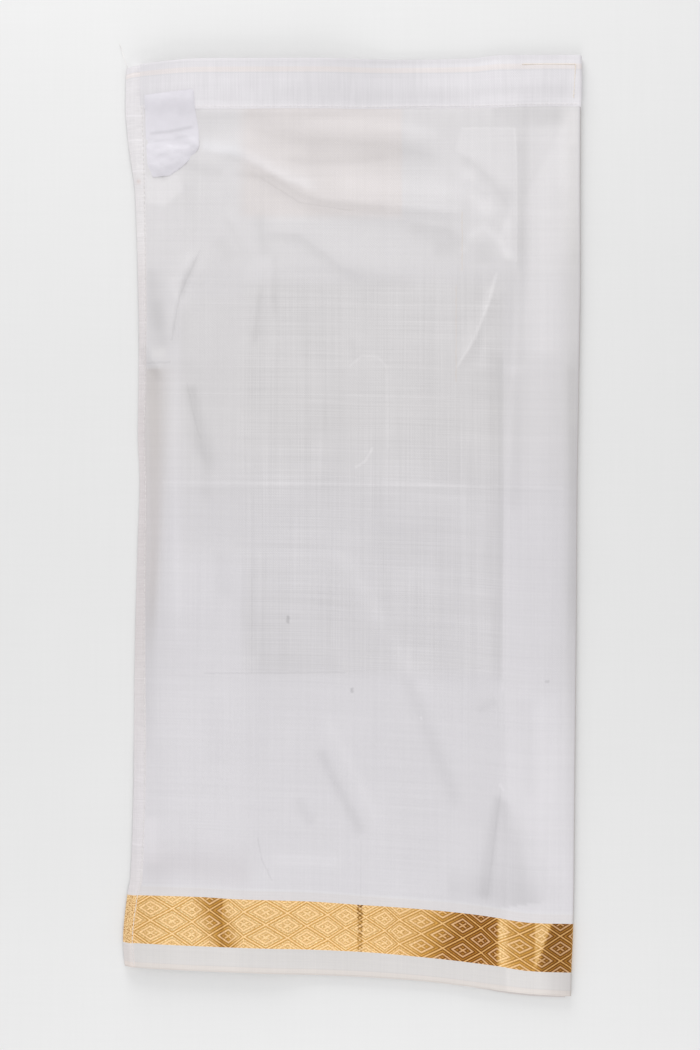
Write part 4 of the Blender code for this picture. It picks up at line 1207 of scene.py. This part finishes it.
def casing_piece(material):
    """The waistband casing: the turned top of the cloth, sewn down along the seam."""
    columns = COLUMNS[(COLUMNS >= 0.8) & (COLUMNS <= FOLD_END)]
    rows, out, rise = profile(CASING_PROFILE)
    out, rise = out[:, None], rise[:, None]
    across, down = np.meshgrid(columns, rows)
    settle = 1.0 - ease(4.1, 4.95, across)
    along_x = guide_x(across.clip(0, FOLD_START), np.full(across.shape, CASING_MIDDLE))
    puff = 0.18 * np.sin(math.pi * np.clip(down, 0, 1)) * ripple(along_x, down * CASING_DEPTH, 13.0, 9.0, 31)
    outer = on_cloth(across, down, (out + puff) * settle + 0.05, shift_y=rise)
    inner = on_cloth(across, down, np.maximum(out * settle - 0.34, -0.6), shift_y=rise - 0.3 * (rise > 0.2))
    return shell("waistband_casing_cloth", outer, inner, 1, material, cloth_place(across, down),
                 casing_tone(outer[..., 0], outer[..., 1]))


def hem_piece(material):
    """The side hem, turned to the seen side and sewn beside its inner edge."""
    rows = steps((0.015, 1, 30), (1, 2, 480), (2, 3, 30), (3, 3.985, 14))
    places, out, past = profile(HEM_PROFILE)
    across, down = np.meshgrid(places, rows)
    along_y = guide_y(down, np.full(across.shape, HEM_MIDDLE))
    pucker = 0.10 * ripple(along_y, across, 1.7, 0.4, 41) + 0.10 * ripple(along_y, across, 5.0, 0.6, 42)
    pucker = pucker * np.sin(math.pi * np.clip(across, 0, 1))
    outer = on_cloth(across, down, out + pucker, shift_x=-past)
    inner = on_cloth(across, down, np.minimum(out - 0.05, 0.04), shift_x=-past * 0.3)
    return shell("side_hem_cloth", outer, inner, 1, material, cloth_place(across, down),
                 hem_tone(outer[..., 0], outer[..., 1]))


def label_piece(material):
    """The care label, left blank: sewn in beside the hem, its lower half crumpled."""
    part, place = np.meshgrid(np.linspace(0, 1, 41), np.linspace(0, 1, 67))
    x, y = (read(LABEL, "left_" + axis, place) * (1.0 - part) + read(LABEL, "right_" + axis, place) * part
            for axis in "xy")
    seam = read(LINES, "seam", x)
    on_casing = CASING_STANDS * ease(seam - 5.0, seam + 6.0, y)
    wave = 0.5 + 0.5 * np.cos(math.tau * (part * 0.9 - place * 1.7))
    curl = 0.30 * read(LABEL, "curl", place) * wave * ease(0.0, 0.2, part)
    crumple = 0.30 * ripple(x, y, 7.0, 4.5, 51) + 0.12 * ripple(x, y, 3.2, 2.6, 52)
    width, length = LABEL_SIZE
    from_rim = np.minimum(np.minimum(part, 1.0 - part) * width, (1.0 - place) * length)
    height = (cloth_top(x, y) + on_casing + 0.03 + curl + crumple * ease(0.45, 0.62, place)
              - 0.16 * (1.0 - ease(0.0, 1.6, from_rim)))
    outer = np.stack([x, y, height + LABEL_THICK], axis=-1)
    inner = np.stack([x, y, height], axis=-1)
    cloth = np.stack([part * width, place * length, place * 0], axis=-1)
    # Painted shade and light along the label's creases
    levels = 0.0
    for path, reach, level in LABEL_CREASES:
        side, run, total = along(path, x, y)
        levels = levels + level * np.exp(-(side / reach) ** 2) * ease(0.0, 3.0, np.minimum(run, total - run))
    tone = as_share(np.repeat(levels[..., None], 3, axis=2))
    return shell("care_label_satin", outer, inner, 1, material, cloth, tone)


# ---------------------------------------------------------------- threads

def tubes(runs, radius):
    """Points and faces of threads along runs of points, thin at their ends."""
    points, faces = [], []
    for run in runs:
        run = np.asarray(run, dtype=float)
        ahead = np.gradient(run, axis=0)
        ahead /= np.linalg.norm(ahead, axis=1)[:, None]
        side = np.cross(ahead, [0.0, 0.0, 1.0])
        side /= np.maximum(np.linalg.norm(side, axis=1), 1e-9)[:, None]
        over = np.cross(side, ahead)
        first = len(points)
        last = len(run) - 1
        for index in range(last + 1):
            thick = radius * (0.4 if index in (0, last) else 1.0)
            for angle in np.arange(THREAD_SIDES) * math.tau / THREAD_SIDES:
                out = math.cos(angle) * side[index] + math.sin(angle) * over[index]
                points.append(run[index] + thick * out)
        for index in range(last):
            ring = first + index * THREAD_SIDES
            for turn in range(THREAD_SIDES):
                a, b = ring + turn, ring + (turn + 1) % THREAD_SIDES
                faces.append((a, b, b + THREAD_SIDES, a + THREAD_SIDES))
        ends = range(first, first + THREAD_SIDES), range(len(points) - 1, len(points) - THREAD_SIDES - 1, -1)
        faces += map(tuple, ends)
    return points, faces


def stitches_along(path, length, gap, wander, seed):
    """Running stitches on a line of points: each arches up and dips at its ends."""
    walked = np.concatenate([[0.0], np.cumsum(np.linalg.norm(np.diff(path, axis=0), axis=1))])
    draw = np.random.default_rng(seed)
    runs, place = [], 0.3
    while place + length < walked[-1]:
        own = length * draw.uniform(0.85, 1.1)
        at = place + own * np.array([0.0, 0.15, 0.5, 0.85, 1.0])
        run = np.stack([np.interp(at, walked, path[:, axis]) for axis in range(3)], axis=-1)
        run[:, 2] += STITCH_ARCH
        run[:, :2] += draw.uniform(-wander, wander, 2)
        runs.append(run)
        place += own + gap
    return runs


# Sizes of the sewing, and how each stitch arches: it starts and ends inside the cloth
THREAD_SIDES = 6
HEM_THREAD = 0.20          # radius
CASING_THREAD = 0.13
OVERLOCK_THREAD = 0.17
STITCH_ARCH = (-0.16, 0.084, 0.14, 0.084, -0.16)
LOOSE_END = ((-139.2, 284.0, 4.2), (-140.6, 287.4, 4.6), (-141.8, 290.6, 3.2), (-142.8, 294.0, 1.4),
             (-143.9, 297.4, 0.4), (-145.0, 300.6, 0.25))


def thread_pieces(white, cream):
    """The sewing: the hem's and the casing's seams, the overlocked edge and a loose end."""
    hem_line = on_cloth(np.full(900, 0.93), np.linspace(0.03, 3.97, 900), 0.34)
    hem = stitches_along(hem_line, length=2.6, gap=0.35, wander=0.06, seed=61)
    across = np.linspace(1.25, 4.25, 700)
    settle = 1.0 - ease(4.1, 4.95, across)
    seam = on_cloth(across, np.full(700, 0.972), 0.24 * settle + 0.06)
    casing = stitches_along(seam, length=2.2, gap=0.4, wander=0.05, seed=62)
    at = np.linspace(0, len(LOOSE_END) - 1, 26)
    loose = np.stack([np.interp(at, range(len(LOOSE_END)), axis) for axis in zip(*LOOSE_END)], axis=-1)
    points, faces = tubes([*hem, loose], HEM_THREAD)
    low_points, low_faces = tubes(casing, CASING_THREAD)
    faces += [tuple(index + len(points) for index in face) for face in low_faces]
    sewing = make_object("white_seam_threads", points + low_points, faces, white, sharp=80.0)

    level = on_cloth(np.linspace(3.10, 3.955, 140), np.full(140, 0.175), 0.90)
    level[:, 1] += 0.10 * np.sin(np.arange(140) * 1.3)
    corner = on_cloth(np.linspace(3.955, 3.925, 60), np.linspace(0.175, 0.86, 60), 0.98)
    corner[:, 0] += 0.22 * np.sin(np.arange(60) * 0.9)
    points, faces = tubes([level, corner], OVERLOCK_THREAD)
    overlock = make_object("cream_overlock_thread", points, faces, cream, sharp=80.0)
    return sewing, overlock


# ---------------------------------------------------------------- camera and lights

FIELD_OF_VIEW = 0.651      # what the photograph's long side takes in, at the cloth
CLOTH_LEVEL = 0.004
CAMERA_AT = (-0.00204, 0.00090)
LENS = 70.0
SENSOR = 36.0
WORLD_STRENGTH = 0.661
SOFTBOXES = (              # place, size and power
    ("key_softbox", (-0.24, 1.25, 0.42), (0.95, 0.62), 10.1),
    ("fill_softbox", (0.0, -1.0, 0.45), (0.8, 0.8), 4.15),
)
TABLE_COLOUR = (0.845, 0.845, 0.845)
TABLE_REACH = 3.0
TABLE_TOP = -0.0001


def add_camera():
    """Straight above the packet, as the photograph was taken."""
    data = bpy.data.cameras.new("camera")
    data.lens = LENS
    data.sensor_width = SENSOR
    camera = bpy.data.objects.new("camera", data)
    camera.location = (*CAMERA_AT, CLOTH_LEVEL + FIELD_OF_VIEW * LENS / SENSOR)
    bpy.context.scene.collection.objects.link(camera)
    bpy.context.scene.camera = camera


def add_light(name, location, size, power):
    """A softbox that points at the packet."""
    data = bpy.data.lights.new(name, "AREA")
    data.shape = "RECTANGLE"
    data.size, data.size_y = size
    data.energy = power
    light = bpy.data.objects.new(name, data)
    light.location = location
    light.rotation_euler = (-Vector(location)).to_track_quat("-Z", "Y").to_euler()
    bpy.context.scene.collection.objects.link(light)


def add_studio():
    """A pale world, a key softbox beyond the waistband, a fill before the border, and the table."""
    world = bpy.data.worlds.new("studio")
    world.use_nodes = True
    background = world.node_tree.nodes["Background"]
    background.inputs["Color"].default_value = (1.0, 1.0, 1.0, 1.0)
    background.inputs["Strength"].default_value = WORLD_STRENGTH
    bpy.context.scene.world = world
    for softbox in SOFTBOXES:
        add_light(*softbox)
    bpy.context.scene.view_settings.view_transform = "Standard"

    mesh = bpy.data.meshes.new("table_top")
    corners = [(x * TABLE_REACH, y * TABLE_REACH, TABLE_TOP) for x, y in ((-1, -1), (1, -1), (1, 1), (-1, 1))]
    mesh.from_pydata(corners, [], [(0, 1, 2, 3)])
    mesh.materials.append(table_cover("pale_table_cover", TABLE_COLOUR))
    table = bpy.data.objects.new("table_top", mesh)
    bpy.context.scene.collection.objects.link(table)


# ---------------------------------------------------------------- the dressed packet

# Linear base colours
VOILE = (0.725, 0.707, 0.734)
STRIP_COTTON = (0.714, 0.691, 0.681)
INNER_COTTON = (0.70, 0.68, 0.69)
CASING_COTTON = (0.760, 0.741, 0.768)
HEM_COTTON = (0.70, 0.685, 0.70)
LABEL_SATIN = (0.790, 0.767, 0.822)
WHITE_THREAD = (0.87, 0.85, 0.84)
CREAM_YARN = (0.88, 0.79, 0.66)

# Woven bands, down the cloth
FIELD_ZONES = (            # the cream band above the border, and a pale line over it
    Zone(BORDER_TOP + 0.2, BORDER_TOP + 5.6, 0.5, (1.012, 1.0, 0.975)),
    Zone(BORDER_TOP + 5.3, BORDER_TOP + 7.0, 0.3, (1.03, 1.035, 1.03)),
)
STRIP_ZONES = (            # the selvedge, its very edge, and a line along it
    Zone(LOWER_EDGE - 1.0, LOWER_EDGE + SELVEDGE, 0.25, (1.05, 1.015, 0.985)),
    Zone(LOWER_EDGE - 1.0, LOWER_EDGE + 1.0, 0.25, (0.92, 0.915, 0.91)),
    Zone(LOWER_EDGE + SELVEDGE, LOWER_EDGE + SELVEDGE + 0.6, 0.15, (0.97, 0.96, 0.955)),
)
# A painted highlight along the casing's seam
SEAM_ZONE = Zone(SEAM_LINE - 0.6, SEAM_LINE + 1.8, 0.5, (1.035, 1.03, 1.03))
EDGE_ZONES = (             # a cream band below the casing's top, and a grey line under it
    Zone(CASING_TOP - 8.1, CASING_TOP - 4.8, 0.4, (1.03, 0.995, 0.96)),
    Zone(CASING_TOP - 8.9, CASING_TOP - 8.1, 0.2, (0.95, 0.955, 0.955)),
)


def dress():
    """Adds the camera, the lights and the table, and the packet's nine pieces."""
    add_camera()
    add_studio()
    voile = cotton("white_cotton_voile", VOILE, zones=FIELD_ZONES, marks=MARKS, open_weave=1.2)
    field = cloth_stretch("field_cloth", FIELD_ROWS, voile, cloth_tone)
    border = cloth_stretch("zari_border_cloth", BORDER_ROWS, gold_zari("gold_zari_brocade"), gold_tone)
    strip = cloth_stretch("lower_strip_cloth", STRIP_ROWS,
                          cotton("strip_cotton_weave", STRIP_COTTON, zones=STRIP_ZONES), cloth_tone)
    inner = inner_sheet(cotton("inner_cotton_weave", INNER_COTTON, toned=False, seed=9.0,
                               zones=FIELD_ZONES + STRIP_ZONES))
    casing = casing_piece(cotton("casing_cotton_weave", CASING_COTTON, yarn=CASING_YARN, seed=5.0,
                                 zones=(SEAM_ZONE, *EDGE_ZONES)))
    hem = hem_piece(hem_weave("hem_cotton_weave", HEM_COTTON, STRIP_ZONES + EDGE_ZONES))
    label = label_piece(satin("label_satin_weave", LABEL_SATIN))
    sewing, overlock = thread_pieces(plain_thread("white_sewing_thread", WHITE_THREAD),
                                     plain_thread("cream_overlock_yarn", CREAM_YARN))
    for piece, node, slot in (
            (field, "front_panel", "white_cotton"), (border, "zari_border", "gold_zari"),
            (strip, "lower_strip", "strip_cotton"), (inner, "under_layers", "hidden_cotton"),
            (casing, "waistband_casing", "casing_cotton"), (hem, "side_hem", "hem_cotton"),
            (label, "care_label", "label_satin"), (sewing, None, "hem_cotton"),
            (overlock, None, "casing_cotton")):
        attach(piece, "root")
        if node:
            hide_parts(node)


dress()
